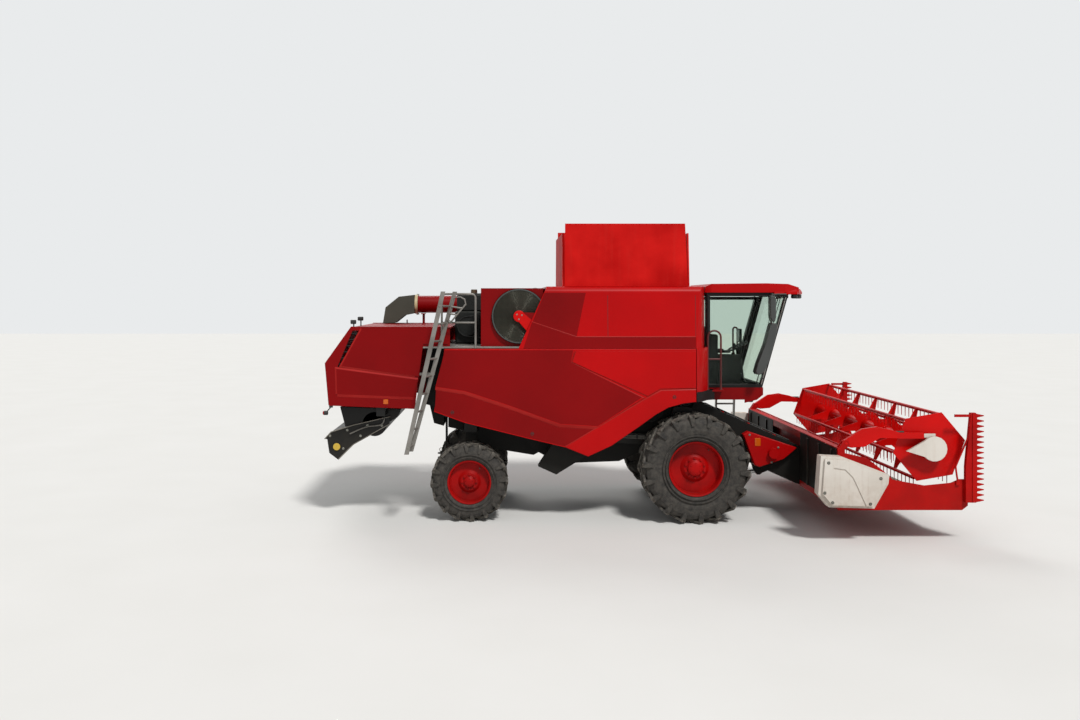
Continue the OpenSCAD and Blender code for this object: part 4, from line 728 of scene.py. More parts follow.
class HARVESTER_OT_body_side(bpy.types.Operator):
    """Adds the creases of the body's sides, and darker sheets below the crease and at the rear that are painted shade.
    """
    bl_idname = "harvester.body_side"
    bl_label = "Body sides"

    def execute(self, context):
        y = SHEET_Y
        lower = [(-2.9, 2.938), (0.02, 2.938), (0.02, 3.128), (-2.0, 3.128), (-2.755, 3.384)]
        rear = [(-2.538, 3.882), (-1.843, 3.882), (-2.0, 3.145), (-2.74, 3.398)]
        # The band below the crease and the rear field in the darker red: painted shade
        sheets = [on_body_side(shell(outline, y - 0.003, y + 0.0025, 0.001)) for outline in (lower, rear)]
        piece("body_painted_shade_sheets", both(*sheets), "painted_shade_red_enamel")
        line = on_body_side(tube([(-2.757, y - 0.004, 3.391), (-2.0, y - 0.004, 3.137), (0.018, y - 0.004, 3.137)],
                                 0.01, 10))
        seam = [on_body_side(tube([(x, y - 0.003, 3.14), (x, y - 0.003, 3.84)], 0.0045, 8)) for x in (-1.47, 0.016)]
        # The crease line in the pinker fold red: a painted highlight along the crease
        piece("body_creases", both(line), "fold_highlight_and_dust_enamel")
        piece("body_seams", both(*seam), "black_hose_rubber")
        return {"FINISHED"}


class HARVESTER_OT_mirrors(bpy.types.Operator):
    """Makes the mirrors: two plates ahead of the door, two long shells beside the windscreen's right edge."""
    bl_idname = "harvester.mirrors"
    bl_label = "Mirrors"

    def execute(self, context):
        left = [(1.7, 0.85, 3.862), (1.7, 1.1, 3.864), (1.7, 1.19, 3.84), (1.7, 1.2, 3.75), (1.7, 1.2, 3.34)]
        right = [(1.7, -0.85, 3.862), (1.69, -0.91, 3.862), (1.46, -1.01, 3.855), (1.425, -1.03, 3.82),
                 (1.415, -1.03, 3.36), (1.28, -1.03, 2.9)]
        arms = [tube(curve(left, 6), 0.013), tube(curve(right, 8), 0.013)]
        plates = [pillow((1.682, 1.11, 3.56), (1.72, 1.29, 3.8), 0.25, 36),
                  pillow((1.682, 1.12, 3.33), (1.72, 1.28, 3.5), 0.25, 36)]
        tall = shell([(1.375, 3.835), (1.455, 3.835), (1.475, 3.76), (1.475, 3.46), (1.455, 3.385), (1.405, 3.385),
                      (1.375, 3.46)], -1.12, -0.96)
        long_one = shell([(1.4, 3.365), (1.465, 3.36), (1.49, 3.31), (1.47, 3.17), (1.345, 2.7), (1.262, 2.52),
                          (1.215, 2.475), (1.135, 2.472), (1.112, 2.52), (1.15, 2.66), (1.3, 3.04),
                          (1.372, 3.32)], -1.15, -0.94)
        made = piece("mirror_shells", [*arms, *plates, tall, long_one], "moulded_grey_plastic")
        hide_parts("mirrors")
        return {"FINISHED"}


# Work lamps under the roof's visor as (x of the housing's back, y), and the stalk lamps as (y, z, half width)
WORK_LAMPS = ((1.86, 0.72), (1.96, 0.56), (2.03, 0.4))
STALK_LAMPS = ((-1.27, 3.4, 0.04), (-0.45, 3.44, 0.06))
TAIL_LAMP = (-6.287, 1.385, 1.841)


class HARVESTER_OT_lamp_bodies(bpy.types.Operator):
    """Makes the housings of the work lamps, the lamps on the hood and the stalk lamps."""
    bl_idname = "harvester.lamp_bodies"
    bl_label = "Lamp housings"

    def execute(self, context):
        parts = both(*(slab((x, y - 0.06, 3.785), (x + 0.08, y + 0.06, 3.862), 0.012) for x, y in WORK_LAMPS),
                     slab((1.1, 0.56, 1.95), (1.18, 0.7, 2.011), 0.01),
                     slab((-6.2, 1.36, 1.93), (-6.14, 1.4, 1.964), 0.004),
                     rod((-6.17, 1.385, 1.94), (-6.25, 1.385, 1.85), 0.009, 12),
                     lathe([(0.02, 0.0), (0.038, 0.006), (0.038, 0.055), (0.03, 0.066), (0.01, 0.068)], TAIL_LAMP,
                           AHEAD, 28))
        for y, z, half in STALK_LAMPS:
            parts += [rod((-5.8, y, 3.29), (-5.8, y, z - 0.045), 0.011, 12),
                      pillow((-5.85, y - half, z - 0.052), (-5.76, y + half, z + 0.02), 0.3)]
        made = piece("lamp_housings", parts, "moulded_black_plastic")
        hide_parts("lamps")
        return {"FINISHED"}


class HARVESTER_OT_crop_gear(bpy.types.Operator):
    """Adds the reel's star plates and wide tube, the bends of its arms, the end walls' bands and the drive's cover."""
    bl_idname = "harvester.crop_gear"
    bl_label = "Reel stars and end bands"

    def execute(self, context):
        y_end = REEL[1][1] - 0.095
        stars = []
        for k in range(1, 6):
            y = -y_end + k * 2 * y_end / 6
            rim = [(r * math.cos(math.radians(10 + 60 * i + a)), r * math.sin(math.radians(10 + 60 * i + a)))
                   for i in range(6) for r, a in ((0.518, -3), (0.518, 3), (0.17, 30))]
            stars.append(extruded(np.array(rim) + REEL_AXIS[[0, 2]], y - 0.005, y + 0.005))
        piece("reel_stars", stars, "baked_red_enamel", "reel")
        wide = lathe([(0.02, -2.59), (0.1, -2.585), (0.1, 2.585), (0.02, 2.59)], REEL_AXIS, LEFT, 40)
        piece("reel_centre_tube", [wide], "baked_red_enamel", "reel")
        bend = [(2.066, 1.482), (2.2, 1.452), (2.4, 1.468), (2.52, 1.535), (2.649, 1.605), (2.95, 1.6), (2.96, 1.688),
                (2.806, 1.735), (2.64, 1.768), (2.492, 1.752), (2.3, 1.65), (2.17, 1.59), (2.066, 1.558)]
        piece("arm_bends", both(shell(bend, 2.668, 2.732, 0.006)), "baked_red_enamel", "reel_arms")
        edge = [(1.99, 0.49), (1.99, 1.398), (2.42, 1.298), (2.69, 1.088), (2.819, 0.965), (3.309, 0.875),
                (3.885, 0.934), (3.988, 0.955), (3.988, 0.56), (3.9, 0.492)]
        piece("end_wall_bands", both(shell(edge, 2.7745, 2.7785, 0.001)), "rubbed_red_enamel", "header")
        cover = [(0.96, 1.403), (1.049, 1.457), (1.905, 1.17), (1.674, 0.974), (1.245, 0.832), (1.156, 0.867)]
        drive = piece("feeder_drive_cover",
                      [shell(cover, -0.9, -0.752, 0.015), rod((1.48, -0.9, 1.08), (1.48, -0.98, 1.08), 0.09, 32)],
                      "sprayed_red_enamel", "header")
        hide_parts("feeder_drive")
        return {"FINISHED"}


class HARVESTER_OT_rails(bpy.types.Operator):
    """Makes the grab rails: a round arch on the right fender, two on the left platform."""
    bl_idname = "harvester.rails"
    bl_label = "Grab rails"

    def execute(self, context):
        foot = 2.2

        def arch(x0, x1, y, top):
            r = (x1 - x0) / 2
            a = np.linspace(np.pi, 0, 9)
            bow = np.column_stack([(x0 + x1) / 2 + r * np.cos(a), np.full(9, y), top - r + r * np.sin(a)])
            return tube(np.vstack([[x0, y, foot - 0.01], bow, [x1, y, foot - 0.01]]), 0.017, 14)
        right, left = -1.0, 1.456
        parts = [arch(0.316, 0.545, right, 3.226), rod((0.316, right, 2.73), (0.545, right, 2.73), 0.015, 14),
                 arch(1.335, 1.42, left, 3.215), arch(0.34, 0.5, left, 3.215),
                 rod((0.34, left, 2.73), (0.5, left, 2.73), 0.015, 14)]
        parts += [lathe([(0.034, 0), (0.034, 0.006), (0.02, 0.01), (0.018, 0.03)], (x, y, foot), UP, 20)
                  for x, y in ((0.316, right), (0.545, right), (1.335, left), (1.42, left), (0.34, left), (0.5, left))]
        rails = piece("grab_rails", parts, "worn_rail_enamel")
        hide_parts("handrails")
        return {"FINISHED"}


# -------------------------------------------------------------- settings

class HarvesterPaint(bpy.types.PropertyGroup):
    """Colours of the paints."""
    enamel: bpy.props.FloatVectorProperty(name="Enamel", description="Red of the panels", subtype="COLOR", min=0,
                                          max=1, default=linear("B80205")[:3])
    deep_enamel: bpy.props.FloatVectorProperty(name="Deep enamel", description="Red in the panels' darker clouds",
                                               subtype="COLOR", min=0, max=1, default=linear("A00103")[:3])
    dust: bpy.props.FloatVectorProperty(name="Dust", description="Field dust on the black parts", subtype="COLOR",
                                        min=0, max=1, default=linear("5E5442")[:3])


class HarvesterStage(bpy.types.PropertyGroup):
    """Camera and light."""
    lens: bpy.props.FloatProperty(name="Lens", description="Focal length on a 36 mm sensor",
                                  default=32.15, min=20, max=80)
    camera_place: bpy.props.FloatVectorProperty(name="Camera", description="Place of the camera",
                                                subtype="TRANSLATION", unit="LENGTH", default=(-2.161, -17.78, 3.76))
    shift: bpy.props.FloatVectorProperty(name="Shift", description="Shift of the lens that frames the machine", size=2,
                                         default=(0.0324, -0.0556))
    sun_height: bpy.props.FloatProperty(name="Key height", description="Height of the key lamp above the horizon",
                                        subtype="ANGLE", default=math.radians(52))
    sun_turn: bpy.props.FloatProperty(name="Key turn", description="Turn of the key lamp towards the machine's front",
                                      subtype="ANGLE", default=math.radians(24))
    ground: bpy.props.FloatProperty(name="Floor", description="Half width of the floor", unit="LENGTH", default=90.0)


class HARVESTER_OT_finishes(bpy.types.Operator):
    """Makes the materials and gives every CAD node its own."""
    bl_idname = "harvester.finishes"
    bl_label = "Finishes"

    def execute(self, context):
        make_materials(context.scene.harvester_paint)
        slots = {part["node"]: part["material_slot"] for part in frame["record"]["subparts"]}
        for name, obj in frame["nodes"].items():
            obj.data.materials.clear()
            obj.data.materials.append(bpy.data.materials[FINISH_OF_NODE.get(name, FINISH_OF_SLOT[slots[name]])])
        return {"FINISHED"}


class HARVESTER_OT_stage(bpy.types.Operator):
    """Adds the floor, the lamps and the camera."""
    bl_idname = "harvester.stage"
    bl_label = "Stage"

    def execute(self, context):
        stage = context.scene.harvester_stage
        tree, shader, place = new_material("matt_floor_paint")
        tone = blended(tree, noise(tree, place, 0.6, 3.0), "D6D4CF", "DCDAD6")
        feed(tree, shader, {"Base Color": tone, "Roughness": 0.95, "Specular IOR Level": 0.1})
        s = stage.ground
        mesh = bpy.data.meshes.new("floor")
        mesh.from_pydata([(-s, -s, 0), (s, -s, 0), (s, s, 0), (-s, s, 0)], [], [(0, 1, 2, 3)])
        mesh.materials.append(bpy.data.materials["matt_floor_paint"])
        floor = bpy.data.objects.new("floor", mesh)
        context.scene.collection.objects.link(floor)
        world = bpy.data.worlds.new("pale_sky")
        context.scene.world = world
        world.use_nodes = True
        sky = world.node_tree
        sky.nodes.clear()
        path = add(sky, "LightPath").outputs
        seen = maths(sky, "MAXIMUM", path["Is Camera Ray"], path["Is Glossy Ray"])
        seen = maths(sky, "MAXIMUM", seen, path["Is Transmission Ray"])
        lit, shown = (add(sky, "Background", {"Color": linear(colour), "Strength": strength}).outputs[0]
                      for colour, strength in (("E4E8EC", 0.5), ("E9EBEC", 1.0)))
        add(sky, "OutputWorld", {"Surface": add(sky, "MixShader", {0: seen, 1: lit, 2: shown}).outputs[0]})
        # A key lamp as far off as a bright window wall, and a weak one that opens the far side
        for name, height, turn, power, spread in (
                ("key_lamp", stage.sun_height, stage.sun_turn, 2.6, 9),
                ("back_lamp", math.radians(40), math.radians(200), 0.9, 30)):
            lamp = bpy.data.lights.new(name, "SUN")
            lamp.energy, lamp.angle = power, math.radians(spread)
            holder = bpy.data.objects.new(name, lamp)
            context.scene.collection.objects.link(holder)
            holder.rotation_euler = (math.pi / 2 - height, 0, turn)
        lens = bpy.data.cameras.new("camera")
        lens.lens, lens.sensor_width, lens.clip_end = stage.lens, 36.0, 400.0
        lens.shift_x, lens.shift_y = stage.shift
        camera = bpy.data.objects.new("camera", lens)
        context.scene.collection.objects.link(camera)
        camera.location = stage.camera_place
        camera.rotation_euler = (math.pi / 2, 0, 0)
        context.scene.camera = camera
        context.scene.view_settings.view_transform = "Standard"
        return {"FINISHED"}


def shoulder_lugs(box, count, side):
    """The ends of a tyre's lugs: rows of four corners that go down the shoulder, repeated round the axle.

    A lug's middle lies a quarter of the pitch to one side of k pitches, and its outer end lags by its slant.
    """
    radius, wide = (box[1][2] - box[0][2]) / 2, box[1][1] - box[0][1]
    middle = middle_of(box, (1, side, 1))
    pitch = 2 * math.pi / count
    lag = 0.26 * wide * math.tan(LUG_SLANT) / radius
    half = 0.13 * pitch / math.cos(LUG_SLANT)
    carcass = radius - LUG_HEIGHT
    # Outer face and buried face of each row: radius and distance from the tyre's middle; then the share of the width
    rows = ((radius - 0.002, 0.37 * wide, carcass - 0.01, 0.28 * wide, 1.0),
            (radius - 0.01, 0.43 * wide, carcass - 0.03, 0.38 * wide, 0.98),
            (radius - 0.045, 0.475 * wide, carcass - 0.07 * wide, 0.41 * wide, 0.92),
            (carcass - 0.1 * wide, 0.494 * wide, carcass - 0.12 * wide, 0.44 * wide, 0.82),
            (carcass - 0.22 * wide, 0.4985 * wide, carcass - 0.2 * wide, 0.46 * wide, 0.55))
    found = []
    for facing in (-1, 1):
        for k in range(count):
            at = (k + side * facing / 4) * pitch - lag
            grid = []
            for far, out, near, deep, share in rows:
                spots = ((near, deep, -1), (far, out, -0.86), (far, out, 0.86), (near, deep, 1))
                grid.append([(middle[0] + r * math.sin(at + s * half * share), middle[1] + facing * y,
                              middle[2] + r * math.cos(at + s * half * share)) for r, y, s in spots])
            found.append(skin(np.array(grid)))
    return found


class HARVESTER_OT_wheels(bpy.types.Operator):
    """Adds hub caps, wheel nuts, valves, ribs on the side walls and the lugs' ends on the shoulders."""
    bl_idname = "harvester.wheels"
    bl_label = "Wheels"

    def execute(self, context):
        # Each axle: face of the dish, hub's reach, radii of cap, nuts and rim, the number of nuts and of lugs
        axles = (("front", FRONT_TYRE, 1.474, 0.066, 0.125, 0.15, 0.44, 10, 18),
                 ("rear", REAR_TYRE, 1.364, 0.058, 0.085, 0.108, 0.35, 8, 16))
        for end, box, face, reach, cap_r, nut_r, rim_r, nuts, lugs in axles:
            centre = middle_of(box, (1, 0, 1))
            outer = box[1][1]
            for side, word in SIDES:
                axis = (0, side, 0)
                body = f"{end}_wheel_{word}"
                cap = [(cap_r + 0.012, face - 0.004), (cap_r + 0.012, face + 0.012), (cap_r, face + 0.02),
                       (cap_r, face + reach - 0.01), (cap_r - 0.012, face + reach),
                       (cap_r * 0.45, face + reach + 0.012), (0.02, face + reach + 0.014)]
                piece(f"{end}_hub_cap_{word}", [lathe(cap, centre, axis)], "wheel_red_enamel", body)
                at = centre + [0, side * face, 0]
                cover = ring_of(6, cap_r * 0.7, centre + [0, side * (face + reach + 0.004), 0], axis)
                piece(f"{end}_wheel_nuts_{word}", bolts(ring_of(nuts, nut_r + 0.012, at, axis), axis, 0.034, 0.026)
                      + bolts(cover, axis, 0.018, 0.009), "wheel_red_enamel", body)
                # Valve in the dish
                valve = centre + [0, side * (face - 0.05), 0] + np.array([0.6, 0, 0.8]) * (rim_r - 0.06)
                stem = [rod(valve, valve + [0, side * 0.07, 0], 0.007, 10),
                        rod(valve + [0, side * 0.055, 0], valve + [0, side * 0.08, 0], 0.01, 10)]
                piece(f"{end}_valve_{word}", stem, "black_hose_rubber", body)
                # Ribs moulded on the side wall near the bead
                ribs = [lathe([(r - 0.01, wall - 0.012), (r - 0.006, wall + 0.004), (r + 0.006, wall + 0.004),
                               (r + 0.01, wall - 0.012)], centre, axis, 72, ring=True)
                        for r, wall in ((rim_r + 0.075, outer - 0.02), (rim_r + 0.125, outer - 0.0085))]
                piece(f"{end}_tyre_ribs_{word}", ribs, f"soiled_tyre_rubber_{end}", body)
                # Lug ends that run down the shoulder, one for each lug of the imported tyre
                ends = shoulder_lugs(box, lugs, side)
                piece(f"{end}_tyre_shoulders_{word}", ends, f"soiled_tyre_rubber_{end}", body, smooth=30)
        return {"FINISHED"}


class HARVESTER_OT_chassis(bpy.types.Operator):
    """Adds the final drives' flanges, axle clamps and bolts, the hitch pin and the pipes along the frame rails."""
    bl_idname = "harvester.chassis"
    bl_label = "Chassis"

    def execute(self, context):
        centre = middle_of(FRONT_TYRE, (1, 0, 1))
        flange = lathe([(0.164, 0.93), (0.215, 0.93), (0.222, 0.937), (0.222, 0.975), (0.212, 0.985), (0.164, 0.985)],
                       centre, LEFT, 40, ring=True)
        boot = lathe([(0.164, 1.06), (0.188, 1.07), (0.188, 1.13), (0.164, 1.14)], centre, LEFT, 40, ring=True)
        piece("final_drive_flanges", both(flange, boot), "cast_iron")
        heads = ring_of(12, 0.197, centre + [0, 0.985, 0], LEFT)
        piece("final_drive_bolts", both(*bolts(heads, LEFT, 0.026, 0.018)), "zinc_plate")
        rear = middle_of(REAR_TYRE, (1, 0, 1))
        plates = [slab((rear[0] - 0.12, s * 0.3 - 0.05, rear[2] + 0.068),
                       (rear[0] + 0.12, s * 0.3 + 0.05, rear[2] + 0.085)) for s in (-1, 1)]
        studs = [(rear[0] + dx, s * 0.3 + dy, rear[2] + 0.085) for s in (-1, 1)
                 for dx in (-0.09, 0.09) for dy in (-0.03, 0.03)]
        piece("axle_clamps", plates, "cast_iron")
        piece("axle_bolts", bolts(studs, UP, 0.024, 0.016), "zinc_plate")
        grease = [lathe([(0.006, 0), (0.006, 0.012), (0.004, 0.02)], (rear[0] + 0.04, s * 0.91, rear[2] + 0.15),
                        UP, 10) for s in (-1, 1)]
        piece("grease_nipples", grease, "zinc_plate")
        pin = np.array([-4.39, 0, 0.9])
        ring = ring_of(14, 0.03, pin + [0, 0, 0.105], LEFT)
        parts = [lathe([(0.013, -0.075), (0.0145, -0.068), (0.0145, 0.052), (0.024, 0.054), (0.024, 0.066),
                        (0.01, 0.072)], pin, UP, 20), tube(np.vstack([ring, ring[:1]]), 0.005, 8)]
        piece("hitch_pin", parts, "zinc_plate")
        # Pipes clipped along the frame rails
        run = np.array([(-0.3, 0.866, 1.3), (-2.25, 0.866, 1.42), (-2.95, 0.866, 1.52), (-3.6, 0.866, 1.65)])
        lines = [tube(curve(run + [0, 0, 0.022 * k], 10), 0.009, 8) for k in range(3)]
        clips = [slab((x - 0.015, 0.852, z), (x + 0.015, 0.88, z + 0.09)) for x, z in
                 ((-0.9, 1.325), (-1.6, 1.368), (-2.3, 1.41), (-3.2, 1.545))]
        piece("frame_pipes", both(*lines), "galvanised_steel")
        piece("frame_clips", both(*clips), "moulded_black_plastic")
        return {"FINISHED"}


# Lines pressed into the panels as (x, z), each with the width and the side of its fold
PANEL_FOLDS = (
    ([(0.016, 2.24), (-0.571, 2.224), (-0.841, 2.079), (-2.19, 1.277)], 0.018, -1),
    ([(0.016, 2.276), (-0.59, 2.262), (-0.8, 2.138), (-2.068, 2.712), (-2.012, 2.891)], 0.016, 1),
    ([(-2.05, 2.891), (-2.1, 2.7), (-0.88, 2.102), (-1.64, 1.622)], 0.016, 1),
    ([(-1.64, 1.622), (-2.282, 1.66), (-3.152, 1.975), (-3.894, 2.216), (-4.385, 2.29)], 0.055, 1),
)
REAR_FIELD = [(-4.23, 2.908), (-2.062, 2.908), (-2.1, 2.71), (-0.9, 2.115), (-1.645, 1.632), (-2.28, 1.67),
              (-3.15, 1.985), (-3.892, 2.226), (-4.375, 2.298)]
REAR_STRIP = [(-4.378, 2.234), (-3.9, 2.16), (-3.16, 1.918), (-2.285, 1.603), (-1.68, 1.57), (-2.185, 1.285),
              (-2.855, 1.444), (-3.892, 1.702), (-4.398, 1.888)]
HOOD_FOLDS = (
    ([(-6.06, 2.16), (-6.075, 2.59), (-4.69, 2.405)], 0.03, 1),
    ([(-4.76, 2.11), (-6.06, 2.16)], 0.05, 1),
    ([(-4.735, 2.47), (-5.99, 2.64), (-5.64, 3.27)], 0.03, 1),
)


class HARVESTER_OT_panels(bpy.types.Operator):
    """Adds the pressed folds, the dark sheets of painted shade, latches and stiffeners of the side panels."""
    bl_idname = "harvester.panels"
    bl_label = "Side panels"

    def execute(self, context):
        for side, word in SIDES:
            body = f"side_panel_{word}"
            flip = (lambda part: part) if side > 0 else mirrored
            folds = [crease(line, SIDE_Y, SHEET_Y, width, turn) for line, width, turn in PANEL_FOLDS]
            # The folds in the pinker red: a painted highlight along each fold, with dust
            piece(f"panel_folds_{word}", [flip(f) for f in folds], "fold_highlight_and_dust_enamel", body, smooth=20)
            # The rear field and the strip below its fold are sheets of their own in the hood's darker red, which is
            # painted shade
            piece(f"panel_rear_shade_field_{word}", [flip(shell(REAR_FIELD, SIDE_Y - 0.002, SIDE_Y + 0.0015, 0.0005))],
                  "painted_shade_red_enamel", body)
            piece(f"panel_rear_shade_strip_{word}", [flip(shell(REAR_STRIP, SHEET_Y - 0.002, SHEET_Y + 0.0015, 0.0005))],
                  "painted_shade_red_enamel", body)
            # Turn latches: a black cup with a bar across
            spots = [(-0.35, SIDE_Y, 2.12), (-1.3, SHEET_Y, 1.42), (-2.75, SHEET_Y, 1.5),
                     (-4.1, SHEET_Y, 1.86)]
            cups = [lathe([(0.03, -0.004), (0.03, 0.004), (0.024, 0.005), (0.021, -0.002)], p,
                          LEFT, 24) for p in spots]
            bars = [block(np.array(p) + [0, 0.001, 0], [0.019, 0.005, 0.006], 0.002) for p in spots]
            piece(f"panel_latches_{word}",
                  [flip(p) for p in cups + bars], "moulded_black_plastic", body)
            # A tube inside the lower edge, and upright stiffeners
            low_edge = [(-4.405, 1.88), (-3.894, 1.694), (-2.86, 1.436), (-2.198, 1.279), (-1.806, 1.124),
                        (-1.415, 1.304), (-0.932, 1.637), (-0.662, 1.832), (-0.449, 1.952),
                        (-0.2, 2.02), (0.012, 2.044)]
            line = [(x, SHEET_Y - 0.03, z) for x, z in low_edge]
            rail = [flip(tube(line, 0.01, 8))]
            rail += [flip(rod((x, SHEET_Y - 0.03, z0), (x, SHEET_Y - 0.03, z1), 0.012, 8))
                     for x, z0, z1 in ((-0.35, 2.01, 2.86), (-1.8, 1.16, 2.86),
                                       (-3.1, 1.52, 2.86), (-4.15, 1.8, 2.86))]
            piece(f"panel_stiffeners_{word}", rail, "satin_black_enamel", body)
        return {"FINISHED"}


class HARVESTER_OT_hood(bpy.types.Operator):
    """Adds the hood's folds, its rear door with hinges, handle and swages, slats, edge rolls and rivets."""
    bl_idname = "harvester.hood"
    bl_label = "Rear hood"

    def execute(self, context):
        y = HOOD[1][1] - RELIEF
        hinge_places = (-0.8, 0, 0.8)
        folds = [crease(line, y + RELIEF, y, width, turn) for line, width, turn in HOOD_FOLDS]
        # The folds in the pinker red: a painted highlight along each fold, with dust
        piece("hood_folds", both(*folds), "fold_highlight_and_dust_enamel", smooth=20)
        # Rear face between its low and its high edge
        low, high = np.array([-6.204, 0, 1.965]), np.array([-6.269, 0, 2.68])
        up = unit(high - low)
        on_face = lambda s, v, out=0.0: low + up * s + [-out, v, 0]
        door = [on_face(s, v) for s, v in ((0.06, -1.18), (0.66, -1.18), (0.66, 1.18), (0.06, 1.18), (0.06, -1.18))]
        piece("hood_door_seal", [tube(door, 0.007, 8)], "black_hose_rubber")
        hinges = [lathe([(0.012, -0.06), (0.016, -0.055), (0.016, 0.055), (0.012, 0.06)], on_face(0.672, v, 0.008),
                        LEFT, 14) for v in hinge_places]
        hinges += [block(on_face(0.6, v, 0.008), [0.004, 0.045, 0.05]) for v in hinge_places]
        handle = curve([on_face(0.16, v, out) for v, out in
                        ((-0.1, 0), (-0.1, 0.035), (0, 0.04), (0.1, 0.035), (0.1, 0))], 6)
        piece("hood_hinges", hinges, "painted_shade_red_enamel")
        piece("hood_handle", [tube(handle, 0.009, 10)], "moulded_black_plastic")
        # Pressed swages across the door
        swages = [pillow(on_face(s, 0) - [0.006, 1.02, 0.035], on_face(s, 0) + [0.006, 1.02, 0.035], 0.35, 28)
                  for s in (0.28, 0.46)]
        piece("hood_swages", swages, "painted_shade_red_enamel")
        # Slats over the slots beside the sloping edge
        slats = [slab((-6.07 + 0.26 * a, y - 0.026, 2.608 + 0.62 * a),
                      (-5.99 + 0.34 * a, y - 0.012, 2.632 + 0.62 * a), 0.003) for a in (np.arange(6) + 0.5) / 6]
        piece("hood_slats", both(*slats), "satin_black_enamel")
        edge = [(-4.175, y - 0.012, 3.293), (-5.825, y - 0.012, 3.296), (-6.262, y - 0.012, 2.682),
                (-6.199, y - 0.012, 1.975)]
        piece("hood_edge_rolls", both(tube(edge, 0.013, 10)), "painted_shade_red_enamel")
        rivets = [(x, y - 0.04, 3.2945) for x in np.linspace(-5.7, -4.7, 9)]
        piece("hood_rivets", both(*bolts(rivets, UP, 0.016, 0.006)), "zinc_plate")
        return {"FINISHED"}


class HARVESTER_OT_chopper(bpy.types.Operator):
    """Adds the chopper's hub caps, edge strips, bolts, drive pulley, lever and the tail board's ribs."""
    bl_idname = "harvester.chopper"
    bl_label = "Straw chopper"

    def execute(self, context):
        y = 1.03
        outline = np.array([(-6.355, 1.35), (-6.244, 1.47), (-5.859, 1.59), (-5.216, 1.74)])
        strip = [tube([(x + 0.012, y - 0.003, z - 0.004) for x, z in outline], 0.01, 8),
                 tube([(x, y - 0.003, z) for x, z in ((-5.216, 1.606), (-5.841, 1.257), (-6.11, 0.99))], 0.01, 8)]
        piece("chopper_edge_strips", both(*strip), "worn_knife_steel")
        disc = lathe([(0.062, 0.0195), (0.062, 0.024), (0.03, 0.028), (0.012, 0.028)], (-6.131, y, 1.214), LEFT, 32)
        piece("chopper_hub_caps", both(disc), "yellow_enamel")
        heads = [(-6.25, y, 1.4), (-5.95, y, 1.5), (-5.6, y, 1.58), (-5.35, y, 1.58),
                 (-5.72, y, 1.4), (-6.02, y, 1.18)]
        piece("chopper_bolts", both(*bolts(heads, LEFT, 0.026, 0.014)), "zinc_plate")
        pulley = lathe([(0.03, 0.0), (0.17, 0.0), (0.18, 0.012), (0.16, 0.03), (0.16, 0.05), (0.18, 0.068),
                        (0.17, 0.08), (0.05, 0.08), (0.05, 0.1), (0.02, 0.1)], (-5.48, y - 0.03, 1.62), LEFT, 48)
        piece("chopper_pulley", [pulley], "cast_iron")
        lever = [tube(curve([(-5.3, -1.05, 1.7), (-5.36, -1.075, 1.6), (-5.62, -1.075, 1.56), (-5.9, -1.06, 1.44)], 6),
                      0.012, 10)]
        piece("chopper_lever", lever, "galvanised_steel")
        ribs = [slab((-6.31, v - 0.02, 1.335), (-6.29, v + 0.02, 1.4)) for v in np.linspace(-0.9, 0.9, 7)]
        piece("tail_board_ribs", ribs, "satin_black_enamel")
        return {"FINISHED"}


class HARVESTER_OT_tank(bpy.types.Operator):
    """Adds the filling auger, the floor auger's cover, and the unloading tube's bands, clamp and flange."""
    bl_idname = "harvester.tank"
    bl_label = "Grain tank and unloading tube"

    def execute(self, context):
        foot, head = np.array([-1.15, 0.92, 2.9]), np.array([-1.15, 0.1, 3.72])
        tilt = unit(head - foot)
        auger = [rod(foot, head, 0.105, 28), lathe([(0.16, 0.0), (0.17, 0.03), (0.03, 0.06)], head, tilt, 28)]
        piece("filling_auger", auger, "galvanised_steel")
        cover = extruded([(-0.2, 3.1), (0.0, 3.23), (0.2, 3.1), (0.2, 3.09), (0.0, 3.21), (-0.2, 3.09)],
                         -1.95, -0.25, 0)
        piece("floor_auger_cover", [cover], "chalked_red_enamel")
        for x, word in ((-2.6, "rear"), (-1.3, "front")):
            strap = hoop(0.171, 0.178, 0.02, (x, TUBE_Y, TUBE_Z), AHEAD)
            piece(f"tube_band_{word}", [strap], "zinc_plate", "unloading_auger")
        clamp = lathe([(0.172, -0.03), (0.19, -0.028), (0.19, 0.028), (0.172, 0.03)],
                      (-4.962, TUBE_Y, TUBE_Z), AHEAD, 40, ring=True)
        piece("spout_clamp", [clamp], "cream_enamel", "unloading_auger")
        ears = bolts([(-4.962, TUBE_Y, TUBE_Z - 0.192), (-4.962, TUBE_Y, TUBE_Z + 0.19)], AHEAD, 0.022, 0.05)
        piece("clamp_bolts", ears, "zinc_plate", "unloading_auger")
        collar = hoop(0.171, 0.196, 0.012, (-0.88, TUBE_Y, TUBE_Z), AHEAD)
        heads = ring_of(10, 0.184, (-0.892, TUBE_Y, TUBE_Z), BACK)
        piece("elbow_flange", [collar], "painted_shade_red_enamel", "unloading_auger")
        piece("elbow_flange_bolts", bolts(heads, BACK, 0.02, 0.014), "zinc_plate", "unloading_auger")
        return {"FINISHED"}


